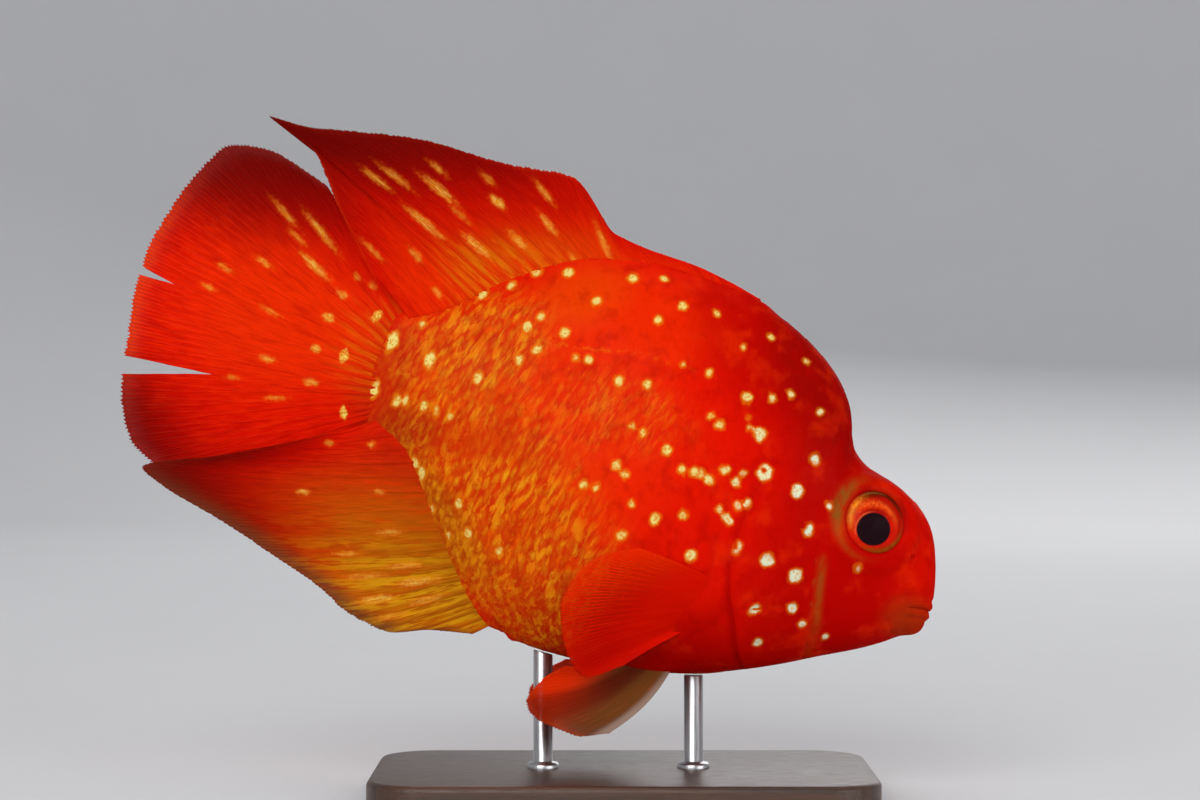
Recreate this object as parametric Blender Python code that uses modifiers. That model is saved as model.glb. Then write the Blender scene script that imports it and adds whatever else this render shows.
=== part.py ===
"""A blood parrot cichlid, life size, swimming nose down on a small display stand.

The fish is modelled in its own frame, in millimetres: s runs back from the tip of the snout, w runs up from it, and y
runs to the fish's left. An empty then tips it nose down and lifts it onto the stand. The blocks are in metres.
"""

import math

import bmesh
import bpy
import numpy as np
from mathutils import Matrix, Vector

MM = 0.001

# Pose: the nose dips by this angle, and the tip of the snout is here above the middle of the stand's underside
DIP = math.radians(20.0)
SNOUT_AT = (63.4, 0.0, 30.6)

# Side view of the body: (s, w) along the back and along the belly, with the nick where the nape meets the forehead
BODY_LENGTH = 97.5
BACK_LINE = [
    (0.0, -1.9), (0.15, 0.4), (0.8, 3.1), (1.9, 6.2), (3.0, 8.6), (4.3, 10.6), (6.1, 12.3), (8.2, 13.5),
    (10.3, 14.3), (13.0, 15.1), (16.5, 16.1), (19.6, 18.0), (20.7, 19.8), (21.9, 22.7), (23.4, 25.3), (26.5, 28.3),
    (31.8, 31.4), (38.0, 33.7), (45.0, 34.8), (52.0, 34.8), (58.5, 34.4), (64.5, 33.4), (69.0, 31.9),
    (73.4, 29.4), (78.5, 25.4), (83.6, 21.0), (88.6, 16.9), (92.5, 14.7), (95.5, 12.3), (97.5, 5.0),
]
BELLY_LINE = [
    (0.0, -1.9), (0.15, -4.6), (0.9, -5.8), (3.0, -6.9), (5.5, -8.9), (8.2, -10.8), (13.7, -14.1),
    (19.1, -17.4), (24.7, -20.4), (30.3, -23.1), (36.3, -25.0), (42.5, -26.4), (50.0, -27.7), (57.0, -28.2),
    (63.0, -27.3), (68.0, -24.6), (72.5, -20.4), (77.0, -15.6), (81.5, -10.6), (86.0, -6.9), (91.0, -4.9),
    (95.5, -2.4), (97.5, 5.0),
]

# Top view and cross-sections: half width, the level of the widest point, and how sharp the back's ridge is
HALF_WIDTH = [
    (0.0, 0.0), (0.3, 2.4), (1.0, 3.7), (3.0, 5.4), (6.0, 7.1), (10.0, 8.8), (14.0, 9.9), (20.0, 11.3),
    (27.0, 12.7), (34.0, 13.5), (42.0, 13.8), (50.0, 13.3), (58.0, 12.0), (66.0, 9.9), (74.0, 7.3),
    (82.0, 5.0), (90.0, 3.3), (95.5, 2.0), (97.5, 0.0),
]
WIDEST_LEVEL = [(0.0, -1.9), (6.0, -1.2), (14.0, 0.8), (25.0, -1.0), (40.0, -3.0), (55.0, -2.0), (70.0, 2.0),
                (85.0, 5.0), (97.5, 5.0)]
RIDGE = [(0.0, 0.9), (5.0, 0.76), (15.0, 0.7), (21.0, 0.8), (28.0, 1.0), (42.0, 1.2), (60.0, 1.3), (80.0, 1.15),
         (97.5, 1.0)]
BODY_ROUND = 40
BODY_STATIONS = 60
NOSE_CROWDING = 1.18

# Head: eye, nostril, mouth and gill cover
EYE_AT = (13.8, 8.3)
EYE_RADIUS = 5.1
EYE_HALF_DEPTH = 2.7
EYE_SUNK = 1.0
EYE_TURN = 0.8
RIM_RADIUS = 5.5
RIM_THICK = 0.8
RIM_SUNK = 0.2
ORBIT_RISE = 0.7
ORBIT_REACH = 4.0
NOSTRIL_AT = (6.1, 5.4)
NOSTRIL_RADIUS = 0.5
MOUTH_LINE = [(-3.0, -1.35), (0.5, -1.45), (3.5, -1.9), (6.4, -2.7)]
MOUTH_OPEN = 0.45
JAW_REAR = [(7.3, -4.5), (7.4, -8.0), (7.8, -14.0)]
LIP_RADIUS = 0.75
LIP_RISE = 0.75
LIP_SUNK = 0.25
LIP_CORNER_SHARE = 0.55
LIP_STATIONS = [6.2, 4.8, 3.4, 2.1, 1.1, 0.4]
LIP_FRONT = 0.1
GILL_LINE = [(-32.0, 22.0), (-20.2, 23.9), (-18.1, 25.9), (-13.2, 28.6), (-9.1, 30.9), (-4.6, 32.4),
             (1.9, 32.8), (9.5, 32.0), (14.0, 30.6), (20.0, 29.3), (42.0, 28.6)]
CHEEK_LINE = [(-32.0, 14.0), (-18.0, 15.2), (-11.7, 16.0), (-5.7, 17.9), (0.4, 19.4), (5.0, 20.2), (11.0, 21.6),
              (42.0, 23.0)]
GILL_SPAN = (-17.6, 10.6)
GILL_CORNER = 6.0
GILL_CORNER_REACH = 7.0
GILL_THICK = 1.6
GILL_RISE = 0.6
GILL_RISE_FADE = (1.0, 3.0)
TAIL_CUT = 82.0

# Fins: (root s or w, tip s, tip w, tip y) of some rays, from the first to the last. The rest lie between them
DORSAL = [
    (39.0, 41.6, 35.2, 0.0), (43.5, 47.5, 36.2, 0.0), (48.5, 53.6, 36.7, 0.0), (54.0, 60.4, 36.5, 0.0),
    (61.0, 66.2, 37.0, -0.4), (64.5, 76.0, 43.1, -1.0), (68.0, 86.0, 41.4, -1.8), (72.0, 98.0, 40.6, -2.6),
    (76.0, 110.0, 37.9, -3.2), (79.0, 121.7, 36.2, -3.8), (82.5, 115.5, 32.1, -3.6), (86.2, 108.0, 25.7, -3.2),
    (89.3, 99.0, 18.9, -2.6),
]
ANAL = [
    (62.5, 66.0, -29.6, 0.0), (64.5, 72.4, -31.2, -0.3), (66.5, 79.0, -33.7, -0.8), (68.5, 84.5, -33.2, -1.2),
    (70.5, 91.0, -30.7, -1.7), (73.0, 99.0, -28.5, -2.3), (76.0, 108.0, -26.2, -2.9), (79.0, 119.0, -24.0, -3.4),
    (81.5, 123.0, -22.2, -3.8), (84.0, 113.0, -16.9, -3.4), (86.3, 103.0, -11.3, -3.0), (88.2, 95.3, -7.6, -2.4),
]
CAUDAL = [
    (12.6, 112.5, 27.9, 1.6), (11.4, 121.5, 30.4, 2.2), (9.9, 127.0, 29.0, 2.6), (8.4, 130.2, 24.0, 2.8),
    (6.9, 132.6, 17.0, 3.0), (5.4, 134.0, 9.5, 3.1), (3.9, 133.6, 3.5, 3.1), (2.4, 132.6, -3.0, 3.0),
    (1.0, 132.1, -9.0, 2.8), (-0.4, 129.8, -15.5, 2.6), (-1.6, 125.5, -20.5, 2.4), (-2.4, 118.5, -22.2, 2.1),
    (-3.0, 108.0, -17.5, 1.5),
]
PECTORAL = [
    (-8.2, 46.5, -7.2, 15.6), (-9.1, 51.4, -10.0, 15.8), (-10.0, 54.2, -14.2, 15.6), (-10.9, 54.8, -18.6, 14.9),
    (-11.8, 53.4, -22.9, 13.6), (-12.7, 51.0, -26.6, 12.0), (-13.6, 47.6, -29.0, 10.4), (-14.4, 42.6, -25.4, 10.6),
]
PELVIC = [
    (34.6, 40.8, -36.2, 6.2), (36.4, 46.0, -38.2, 7.0), (38.0, 51.4, -37.9, 7.5), (39.3, 54.6, -35.4, 7.6),
    (40.6, 53.4, -31.8, 7.0), (41.9, 50.8, -28.7, 6.4),
]
DORSAL_RAYS, ANAL_RAYS, CAUDAL_RAYS, PECTORAL_RAYS, PELVIC_RAYS = 25, 16, 17, 13, 7
CAUDAL_ROOT_S = 92.0
CAUDAL_ROOT_Y = 0.25
PECTORAL_ROOT_S = (31.6, 32.8)
PELVIC_ROOT_Y = 3.2
STALK_LEAN = 0.9
LEAN_FROM, LEAN_TO = 78.0, 87.5
TAIL_SPLITS = {7: 0.14, 11: 0.33}
SPLIT_CLOSING = 0.7
RAY_THICK = 1.0
RAY_TAPER = 0.6
WEB_SHARE = 0.5
ROOT_SUNK = 1.6
SCALLOP = 0.02
RIPPLE_TURNS = 2.5
RIPPLE_TWIST = 2.0

# Touching pieces keep this gap, measured across a parting cut or out from the body's surface
GAP = 0.3
SURFACE_GAP = 0.38

# Blocks that part the body reach past it to these limits of s and w, and of y to either side
CUT_FRONT = -6.0
CUT_UNDER, CUT_OVER = -36.0, 42.0
CUT_SIDE = 30.0
COVER_BLOCK_MIDDLE, COVER_BLOCK_HALF = 14.0, 10.0

# Display stand
BASE_CENTRE = 15.0
BASE_LENGTH, BASE_WIDTH, BASE_HEIGHT = 78.0, 46.0, 4.6
BASE_CORNER = 9.0
BASE_EDGE = 0.9
ROD_RADIUS = 1.5
ROD_AT = {"stand_rod_front": 26.0, "stand_rod_rear": 2.5}
ROD_SOCKET = 2.6
ROD_TOP = 40.0


def curve_through(points):
    """A smooth y(x) through points with rising x, which doesn't overshoot them."""
    x, y = np.array(points, float).T
    step = np.diff(x)
    slope = np.diff(y) / step
    tangent = np.zeros_like(y)
    tangent[0], tangent[-1] = slope[0], slope[-1]
    before, after = slope[:-1], slope[1:]
    turns = before * after <= 0
    near, far = 2 * step[1:] + step[:-1], step[1:] + 2 * step[:-1]
    safe_before, safe_after = np.where(turns, 1.0, before), np.where(turns, 1.0, after)
    tangent[1:-1] = np.where(turns, 0.0, (near + far) / (near / safe_before + far / safe_after))

    def at(value):
        value = np.clip(value, x[0], x[-1])
        i = np.clip(np.searchsorted(x, value, side="right") - 1, 0, len(step) - 1)
        t = (value - x[i]) / step[i]
        rise = y[i + 1] - y[i]
        bend = t * (1 - t) * ((1 - t) * (tangent[i] * step[i] - rise) - t * (tangent[i + 1] * step[i] - rise))
        return y[i] + t * rise + bend

    return at


def turn(s):
    """The polar angle of a station, which makes a profile round at the snout and at the tail."""
    return np.arccos(np.clip(1 - 2 * np.asarray(s, float) / BODY_LENGTH, -1, 1))


def profile(points):
    along = curve_through([(float(turn(s)), value) for s, value in points])
    return lambda s: along(turn(s))


back = profile(BACK_LINE)
belly = profile(BELLY_LINE)
half_width = profile(HALF_WIDTH)
widest_level = profile(WIDEST_LEVEL)
ridge = profile(RIDGE)
gill_edge = curve_through(GILL_LINE)
cheek_edge = curve_through(CHEEK_LINE)


def ease(value, low, high):
    t = np.clip((value - low) / (high - low), 0, 1)
    return t * t * (3 - 2 * t)


def relief(s, w):
    """How far the head stands out of the plain body: round the eye, and at the gill cover's free edge."""
    from_eye = np.hypot(s - EYE_AT[0], w - EYE_AT[1])
    orbit = ORBIT_RISE * (1 - ease(from_eye, EYE_RADIUS, EYE_RADIUS + ORBIT_REACH))
    front, rear = cheek_edge(w), gill_edge(w)
    share = np.clip((s - front) / (rear - front), 0, 1)
    past, within = GILL_RISE_FADE
    low, high = GILL_SPAN
    inside = ease(w, low - past, low + within) * (1 - ease(w, high - within, high + past))
    return orbit + GILL_RISE * share * inside


def body_point(s, angle, grow=0.0, with_relief=False):
    """A point (s, y, w) of the skin. The angle is 0 on the back and pi on the belly."""
    level = widest_level(s)
    upper = math.cos(angle) >= 0
    reach = back(s) + grow - level if upper else level - belly(s) + grow
    side = abs(math.sin(angle)) ** (ridge(s) if upper else 1.0)
    w = level + math.cos(angle) * reach
    y = (half_width(s) + grow) * side
    if with_relief:
        y += relief(s, w) * min(1.0, 2 * side)
    return s, math.copysign(y, math.sin(angle)), w


def flank(s, w):
    """The half width of the body at a station and a level."""
    level = widest_level(s)
    share = (w - level) / (back(s) - level) if w >= level else (level - w) / (level - belly(s))
    side = math.sqrt(max(0.0, 1 - min(1.0, share) ** 2))
    return float(half_width(s)) * side ** (float(ridge(s)) if w >= level else 1.0)


def seat_on_flank(s, w, reach):
    """The mean half width on a circle round a flank's point, and the slopes of that circle along s and w."""
    fore, aft = flank(s - reach, w), flank(s + reach, w)
    under, over = flank(s, w - reach), flank(s, w + reach)
    return (fore + aft + under + over) / 4, (aft - fore) / (2 * reach), (over - under) / (2 * reach)


def metres(s, y, w):
    """A point of the fish's frame as a point of its mesh, with the snout towards +X."""
    return Vector((-s, y, w)) * MM


def linked(name, mesh):
    obj = bpy.data.objects.new(name, mesh)
    bpy.context.scene.collection.objects.link(obj)
    return obj


def finish_mesh(name, bm):
    """An object from a bmesh, with its faces turned outwards."""
    bmesh.ops.recalc_face_normals(bm, faces=bm.faces)
    if bm.calc_volume(signed=True) < 0:
        bmesh.ops.reverse_faces(bm, faces=bm.faces)
    mesh = bpy.data.meshes.new(name)
    bm.to_mesh(mesh)
    bm.free()
    return linked(name, mesh)


def body_solid(name, grow=0.0, with_relief=False):
    """The whole body as a sphere whose rings are moved onto the body's cross-sections."""
    bm = bmesh.new()
    bmesh.ops.create_uvsphere(bm, u_segments=BODY_ROUND, v_segments=BODY_STATIONS, radius=1.0)
    for vertex in bm.verts:
        x, y, z = vertex.co
        ring = math.acos(max(-1.0, min(1.0, z))) / math.pi
        s = BODY_LENGTH * (1 - math.cos(math.pi * ring**NOSE_CROWDING)) / 2
        if abs(z) > 1 - 1e-9:
            point = (s, 0.0, float(widest_level(s)))
        else:
            point = body_point(s, math.atan2(y, x), grow, with_relief)
        stretch = s * (1 + 2 * grow / BODY_LENGTH) - grow
        vertex.co = metres(stretch, point[1], point[2])
    return finish_mesh(name, bm)


def prism(name, outline, half_depth, middle=0.0):
    """A side-view outline of (s, w) points as a solid that runs across the fish."""
    bm = bmesh.new()
    corners = [bm.verts.new(metres(s, middle - half_depth, w)) for s, w in outline]
    face = bm.faces.new(corners)
    grown = bmesh.ops.extrude_face_region(bm, geom=[face])
    moved = [item for item in grown["geom"] if isinstance(item, bmesh.types.BMVert)]
    bmesh.ops.translate(bm, verts=moved, vec=Vector((0, 2 * half_depth, 0)) * MM)
    return finish_mesh(name, bm)


def facing(centre, outward):
    """A frame at (s, y, w) whose third axis points outwards."""
    turned = Vector((-outward[0], outward[1], outward[2])).to_track_quat("Z", "Y").to_matrix().to_4x4()
    return Matrix.Translation(metres(*centre)) @ turned @ Matrix.Scale(MM, 4)


def ball(name, place, radius, half_depth):
    """A ball that is flattened along its third axis."""
    bm = bmesh.new()
    bmesh.ops.create_uvsphere(bm, u_segments=24, v_segments=11, radius=1.0)
    bmesh.ops.transform(bm, matrix=place @ Matrix.Diagonal((radius, radius, half_depth, 1.0)), verts=bm.verts)
    return finish_mesh(name, bm)


def ring(name, place, radius, thickness, around=28, across=8):
    """A torus about its third axis."""
    bm = bmesh.new()
    loops = []
    for i in range(around):
        turned = Matrix.Rotation(2 * math.pi * i / around, 4, "Z")
        loops.append([bm.verts.new(place @ turned @ Vector((
            radius + thickness * math.cos(2 * math.pi * j / across), 0.0,
            thickness * math.sin(2 * math.pi * j / across)))) for j in range(across)])
    for i in range(around):
        for j in range(across):
            here, there = loops[i], loops[(i + 1) % around]
            bm.faces.new((here[j], there[j], there[(j + 1) % across], here[(j + 1) % across]))
    return finish_mesh(name, bm)


def applied(obj):
    """Makes the modifiers of an object part of its mesh."""
    graph = bpy.context.evaluated_depsgraph_get()
    mesh = bpy.data.meshes.new_from_object(obj.evaluated_get(graph))
    old = obj.data
    obj.modifiers.clear()
    obj.data = mesh
    bpy.data.meshes.remove(old)
    return obj


def combine(obj, other, operation, keep=False):
    """Cuts, joins or crosses an object with another, and keeps only its largest closed surface."""
    change = obj.modifiers.new("change", "BOOLEAN")
    change.operation = operation
    change.solver = "EXACT"
    change.object = other
    applied(obj)
    if not keep:
        bpy.data.objects.remove(other)
    return largest(obj)


def largest(obj):
    bm = bmesh.new()
    bm.from_mesh(obj.data)
    shells, left = [], set(bm.verts)
    while left:
        shell, front = set(), [left.pop()]
        while front:
            vertex = front.pop()
            shell.add(vertex)
            near = {edge.other_vert(vertex) for edge in vertex.link_edges} & left
            left -= near
            front += near
        shells.append(shell)
    shells.sort(key=shell_volume, reverse=True)
    bmesh.ops.delete(bm, geom=[v for shell in shells[1:] for v in shell], context="VERTS")
    bm.to_mesh(obj.data)
    bm.free()
    return obj


def shell_volume(shell):
    faces = {face for vertex in shell for face in vertex.link_faces}
    return sum(abs(face.normal.dot(face.calc_center_median())) * face.calc_area() for face in faces)


def copied(obj, name):
    return linked(name, obj.data.copy())


def lip(name, rise):
    """A roll of flesh along one side of the mouth, from corner to corner round the snout."""
    mouth = curve_through(MOUTH_LINE)
    side = []
    for s in LIP_STATIONS:
        w = float(mouth(s)) + rise
        side.append((s, flank(s, w) - LIP_SUNK, w))
    path = side + [(LIP_FRONT, 0.0, float(mouth(LIP_FRONT)) + rise)] + [(s, -y, w) for s, y, w in reversed(side)]
    curve = bpy.data.curves.new(name, "CURVE")
    curve.dimensions = "3D"
    curve.bevel_depth = LIP_RADIUS * MM
    curve.bevel_resolution = 1
    curve.use_fill_caps = True
    spline = curve.splines.new("POLY")
    spline.points.add(len(path) - 1)
    for i, (point, place) in enumerate(zip(spline.points, path)):
        point.co = (*metres(*place), 1.0)
        point.radius = LIP_CORNER_SHARE + (1 - LIP_CORNER_SHARE) * math.sin(math.pi * i / (len(path) - 1))
    guide = bpy.data.objects.new(name + "_curve", curve)
    bpy.context.scene.collection.objects.link(guide)
    graph = bpy.context.evaluated_depsgraph_get()
    mesh = bpy.data.meshes.new_from_object(guide.evaluated_get(graph))
    bpy.data.objects.remove(guide)
    bm = bmesh.new()
    bm.from_mesh(mesh)
    bmesh.ops.remove_doubles(bm, verts=bm.verts, dist=1e-6)
    return finish_mesh(name, bm)


def edge_outline(edge, low, high, shift, steps=16):
    """The points of a parting line s(w), moved along s."""
    return [(float(edge(w)) + shift, float(w)) for w in np.linspace(low, high, steps)]


def gill_outline(grow):
    """The side view of a gill cover, with its two front corners rounded."""
    low, high = GILL_SPAN[0] - grow, GILL_SPAN[1] + grow
    middle, half = (low + high) / 2, (high - low) / 2
    rear = edge_outline(gill_edge, low, high, grow - GAP / 2, 15)
    front = []
    for step in np.linspace(-1, 1, 19):
        w = middle + half * math.sin(math.pi * step / 2)
        near_end = max(0.0, (abs(w - middle) - half + GILL_CORNER) / GILL_CORNER)
        narrow = 1 - math.sqrt(max(0.0, 1 - near_end**2))
        s = float(cheek_edge(w)) - grow
        front.append((s + GILL_CORNER_REACH * narrow, w))
    return front + rear[::-1]


def make_head():
    """Head, lower jaw and both gill covers, parted by thin cuts."""
    flesh = body_solid("head_flesh", with_relief=True)
    combine(flesh, lip("upper_lip", LIP_RISE + MOUTH_OPEN / 2), "UNION")
    combine(flesh, lip("lower_lip", -LIP_RISE - MOUTH_OPEN / 2), "UNION")
    for side in (-1, 1):
        y, along, up = seat_on_flank(*NOSTRIL_AT, NOSTRIL_RADIUS)
        place = facing((NOSTRIL_AT[0], side * y, NOSTRIL_AT[1]), (-along, side, -up))
        combine(flesh, ball("nostril", place, NOSTRIL_RADIUS, 2 * NOSTRIL_RADIUS), "DIFFERENCE")

    half_open = MOUTH_OPEN / 2
    jaw_front = [(CUT_FRONT, JAW_REAR[-1][1])]
    mouth_top = [(s, w + half_open) for s, w in MOUTH_LINE]
    jaw_space = [(CUT_FRONT, mouth_top[0][1])] + mouth_top + JAW_REAR + jaw_front
    mouth_under = [(s, w - half_open) for s, w in MOUTH_LINE]
    mouth_under[-1] = (mouth_under[-1][0] - GAP, mouth_under[-1][1])
    jaw_rear = [(s - GAP, w) for s, w in JAW_REAR]
    jaw_keep = [(CUT_FRONT, mouth_under[0][1])] + mouth_under + jaw_rear + jaw_front
    lower_jaw = combine(copied(flesh, "lower_jaw"), prism("jaw_keep", jaw_keep, CUT_SIDE), "INTERSECT")

    head = copied(flesh, "head")
    gill_side = edge_outline(gill_edge, CUT_UNDER, CUT_OVER, -GAP / 2, 40)
    head_keep = [(CUT_FRONT, CUT_OVER), (CUT_FRONT, CUT_UNDER)] + gill_side
    combine(head, prism("head_keep", head_keep, CUT_SIDE), "INTERSECT")
    combine(head, prism("jaw_space", jaw_space, CUT_SIDE), "DIFFERENCE")

    pieces = [head, lower_jaw]
    inner = body_solid("gill_floor", -GILL_THICK)
    pocket_floor = body_solid("pocket_floor", -GILL_THICK - GAP)
    for name, side in (("gill_cover_right", -1), ("gill_cover_left", 1)):
        middle = side * COVER_BLOCK_MIDDLE
        block = prism("cover_keep", gill_outline(0.0), COVER_BLOCK_HALF, middle)
        cover = combine(copied(flesh, name), block, "INTERSECT")
        combine(cover, inner, "DIFFERENCE", keep=True)
        pocket = prism("pocket", gill_outline(GAP), COVER_BLOCK_HALF, middle)
        combine(pocket, pocket_floor, "DIFFERENCE", keep=True)
        combine(head, pocket, "DIFFERENCE")
        pieces.append(cover)
        pieces.append(make_eye(head, side))
    for tool in (inner, pocket_floor, flesh):
        bpy.data.objects.remove(tool)
    return pieces


def make_eye(head, side):
    """An eyeball in its socket, with a fold of skin round it."""
    surface, along, up = seat_on_flank(*EYE_AT, RIM_RADIUS)
    surface += ORBIT_RISE
    outward = (-along * EYE_TURN, side, -up * EYE_TURN)
    rim = ring("rim", facing((EYE_AT[0], side * (surface - RIM_SUNK), EYE_AT[1]), outward), RIM_RADIUS, RIM_THICK)
    combine(head, rim, "UNION")
    place = facing((EYE_AT[0], side * (surface - EYE_SUNK), EYE_AT[1]), outward)
    combine(head, ball("socket", place, EYE_RADIUS + GAP, EYE_HALF_DEPTH + GAP), "DIFFERENCE")
    return ball("eye_right" if side < 0 else "eye_left", place, EYE_RADIUS, EYE_HALF_DEPTH)


def make_trunk(body):
    """Torso and tail stalk, parted from the head along the gill opening."""
    gill_side = edge_outline(gill_edge, CUT_UNDER, CUT_OVER, GAP / 2, 40)
    fore, aft, rear = TAIL_CUT - GAP / 2, TAIL_CUT + GAP / 2, BODY_LENGTH - CUT_FRONT
    torso_keep = gill_side + [(fore, CUT_OVER), (fore, CUT_UNDER)]
    tail_keep = [(aft, CUT_UNDER), (aft, CUT_OVER), (rear, CUT_OVER), (rear, CUT_UNDER)]
    torso = combine(copied(body, "torso"), prism("torso_keep", torso_keep, CUT_SIDE), "INTERSECT")
    tail = combine(copied(body, "tail_stalk"), prism("tail_keep", tail_keep, CUT_SIDE), "INTERSECT")
    return [torso, tail]


def fin(name, rays, count, rows, splits=None, bow=0.0, ripple=0.0, flare=1.3):
    """A fin as one membrane, with its rays as ridges. Each control ray is (root, tip), both points (s, y, w)."""
    splits = splits or {}
    share = np.linspace(0, 1, len(rays))
    columns = np.linspace(0, 1, 2 * count - 1)
    ends = []
    for end in (0, 1):
        ends.append(np.array([np.interp(columns, share, [ray[end][k] for ray in rays]) for k in range(3)]).T)
    root, tip = ends
    for web in splits:
        middle = 2 * web + 1
        for i in (middle - 1, middle + 1):
            tip[i] += SPLIT_CLOSING * (tip[middle] - tip[i])
    lengths = np.linalg.norm(tip - root, axis=1)
    longest = lengths.max()

    bm = bmesh.new()
    weights = []
    grid = []
    for i in range(len(columns)):
        is_ray = i % 2 == 0
        stop = 1.0 if is_ray else 1 - SCALLOP
        if not is_ray and i // 2 in splits:
            stop = 1 - splits[i // 2]
        line = []
        for j in range(rows + 1):
            b = stop * j / rows
            across = (tip[i] - root[i]) / lengths[i]
            point = root[i] + (tip[i] - root[i]) * b
            point[1] = root[i][1] + (tip[i][1] - root[i][1]) * b**flare
            wave = math.sin(2 * math.pi * RIPPLE_TURNS * columns[i] + RIPPLE_TWIST * b)
            point[1] += ripple * wave * b * lengths[i] / longest
            arch = bow * math.sin(math.pi * b) * lengths[i] / longest
            point[0] -= arch * across[2]
            point[2] += arch * across[0]
            line.append(bm.verts.new(metres(*point)))
            weights.append((1 - RAY_TAPER * b) if is_ray else 0.0)
        grid.append(line)
    for here, there in zip(grid, grid[1:]):
        for j in range(rows):
            bm.faces.new((here[j], there[j], there[j + 1]))
            bm.faces.new((here[j], there[j + 1], here[j + 1]))
    mesh = bpy.data.meshes.new(name)
    bm.to_mesh(mesh)
    bm.free()
    obj = linked(name, mesh)
    ridges = obj.vertex_groups.new(name="ridges")
    for index, weight in enumerate(weights):
        ridges.add([index], weight, "REPLACE")
    thick = obj.modifiers.new("thickness", "SOLIDIFY")
    thick.thickness = RAY_THICK * MM
    thick.offset = 0.0
    thick.vertex_group = "ridges"
    thick.thickness_vertex_group = WEB_SHARE
    applied(obj)
    bm = bmesh.new()
    bm.from_mesh(obj.data)
    bpy.data.objects.remove(obj)
    return finish_mesh(name, bm)


def stalk_lean(s):
    """How far the roots of the dorsal and anal fins lean to the right on the thin tail stalk."""
    return -STALK_LEAN * ease(s, LEAN_FROM, LEAN_TO)


def make_fins():
    """Every fin, its root sunk in the body and then cut back to a thin gap over the skin."""
    dorsal = [((s, stalk_lean(s), float(back(s)) - ROOT_SUNK), (ts, ty, tw)) for s, ts, tw, ty in DORSAL]
    anal = [((s, stalk_lean(s), float(belly(s)) + ROOT_SUNK), (ts, ty, tw)) for s, ts, tw, ty in ANAL]
    caudal = [((CAUDAL_ROOT_S, CAUDAL_ROOT_Y, w), (ts, ty, tw)) for w, ts, tw, ty in CAUDAL]
    fins = [
        fin("dorsal_fin", dorsal, DORSAL_RAYS, 7, bow=0.8, ripple=0.35),
        fin("anal_fin", anal, ANAL_RAYS, 7, bow=-0.8, ripple=0.35),
        fin("caudal_fin", caudal, CAUDAL_RAYS, 7, splits=TAIL_SPLITS, ripple=0.5),
    ]
    for name, side in (("right", -1), ("left", 1)):
        pectoral = []
        for w, ts, tw, ty in PECTORAL:
            share = (w - PECTORAL[0][0]) / (PECTORAL[-1][0] - PECTORAL[0][0])
            s = PECTORAL_ROOT_S[0] + share * (PECTORAL_ROOT_S[1] - PECTORAL_ROOT_S[0])
            pectoral.append(((s, side * (flank(s, w) - ROOT_SUNK), w), (ts, side * ty, tw)))
        fins.append(fin("pectoral_fin_" + name, pectoral, PECTORAL_RAYS, 6, bow=0.5, flare=0.5))
        pelvic = [((s, side * PELVIC_ROOT_Y, float(belly(s)) + 1.5 * ROOT_SUNK), (ts, side * ty, tw))
                  for s, ts, tw, ty in PELVIC]
        fins.append(fin("pelvic_fin_" + name, pelvic, PELVIC_RAYS, 6, bow=-0.9))
    over_skin = body_solid("over_skin", SURFACE_GAP)
    for obj in fins:
        combine(obj, over_skin, "DIFFERENCE", keep=True)
    bpy.data.objects.remove(over_skin)
    return fins


def make_base():
    """The flat base: a rounded slab with sockets for the rods."""
    bm = bmesh.new()
    bmesh.ops.create_cube(bm, size=1.0)
    size = Matrix.Diagonal((BASE_LENGTH * MM, BASE_WIDTH * MM, BASE_HEIGHT * MM, 1.0))
    middle = Matrix.Translation(Vector((BASE_CENTRE, 0.0, BASE_HEIGHT / 2)) * MM)
    bmesh.ops.transform(bm, matrix=middle @ size, verts=bm.verts)
    upright = [e for e in bm.edges if abs(e.verts[0].co.z - e.verts[1].co.z) > 0.5 * BASE_HEIGHT * MM]
    bmesh.ops.bevel(bm, geom=upright, offset=BASE_CORNER * MM, segments=6, profile=0.5, affect="EDGES")
    top = [e for e in bm.edges if min(v.co.z for v in e.verts) > (BASE_HEIGHT - 0.01) * MM]
    bmesh.ops.bevel(bm, geom=top, offset=BASE_EDGE * MM, segments=2, profile=0.5, affect="EDGES")
    base = finish_mesh("stand_base", bm)
    for x in ROD_AT.values():
        socket = rod("socket", x, ROD_RADIUS + GAP, BASE_HEIGHT - ROD_SOCKET, 2 * BASE_HEIGHT)
        combine(base, socket, "DIFFERENCE")
    return base


def rod(name, x, radius, low, high):
    bm = bmesh.new()
    bmesh.ops.create_cone(bm, cap_ends=True, segments=20, radius1=radius * MM, radius2=radius * MM,
                          depth=(high - low) * MM)
    bmesh.ops.translate(bm, verts=bm.verts, vec=Vector((x, 0.0, (low + high) / 2)) * MM)
    return finish_mesh(name, bm)


def make_rods(pose):
    """Two short rods from the base up to the belly."""
    over_skin = body_solid("over_skin", SURFACE_GAP)
    over_skin.data.transform(pose)
    rods = []
    for name, x in ROD_AT.items():
        foot = BASE_HEIGHT - ROD_SOCKET + GAP
        rods.append(combine(rod(name, x, ROD_RADIUS, foot, ROD_TOP), over_skin, "DIFFERENCE", keep=True))
    bpy.data.objects.remove(over_skin)
    return rods


def material(name, colour, roughness, metallic=0.0):
    made = bpy.data.materials.new(name)
    made.use_nodes = True
    shader = made.node_tree.nodes["Principled BSDF"]
    shader.inputs["Base Color"].default_value = (*colour, 1.0)
    shader.inputs["Roughness"].default_value = roughness
    shader.inputs["Metallic"].default_value = metallic
    return made


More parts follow.
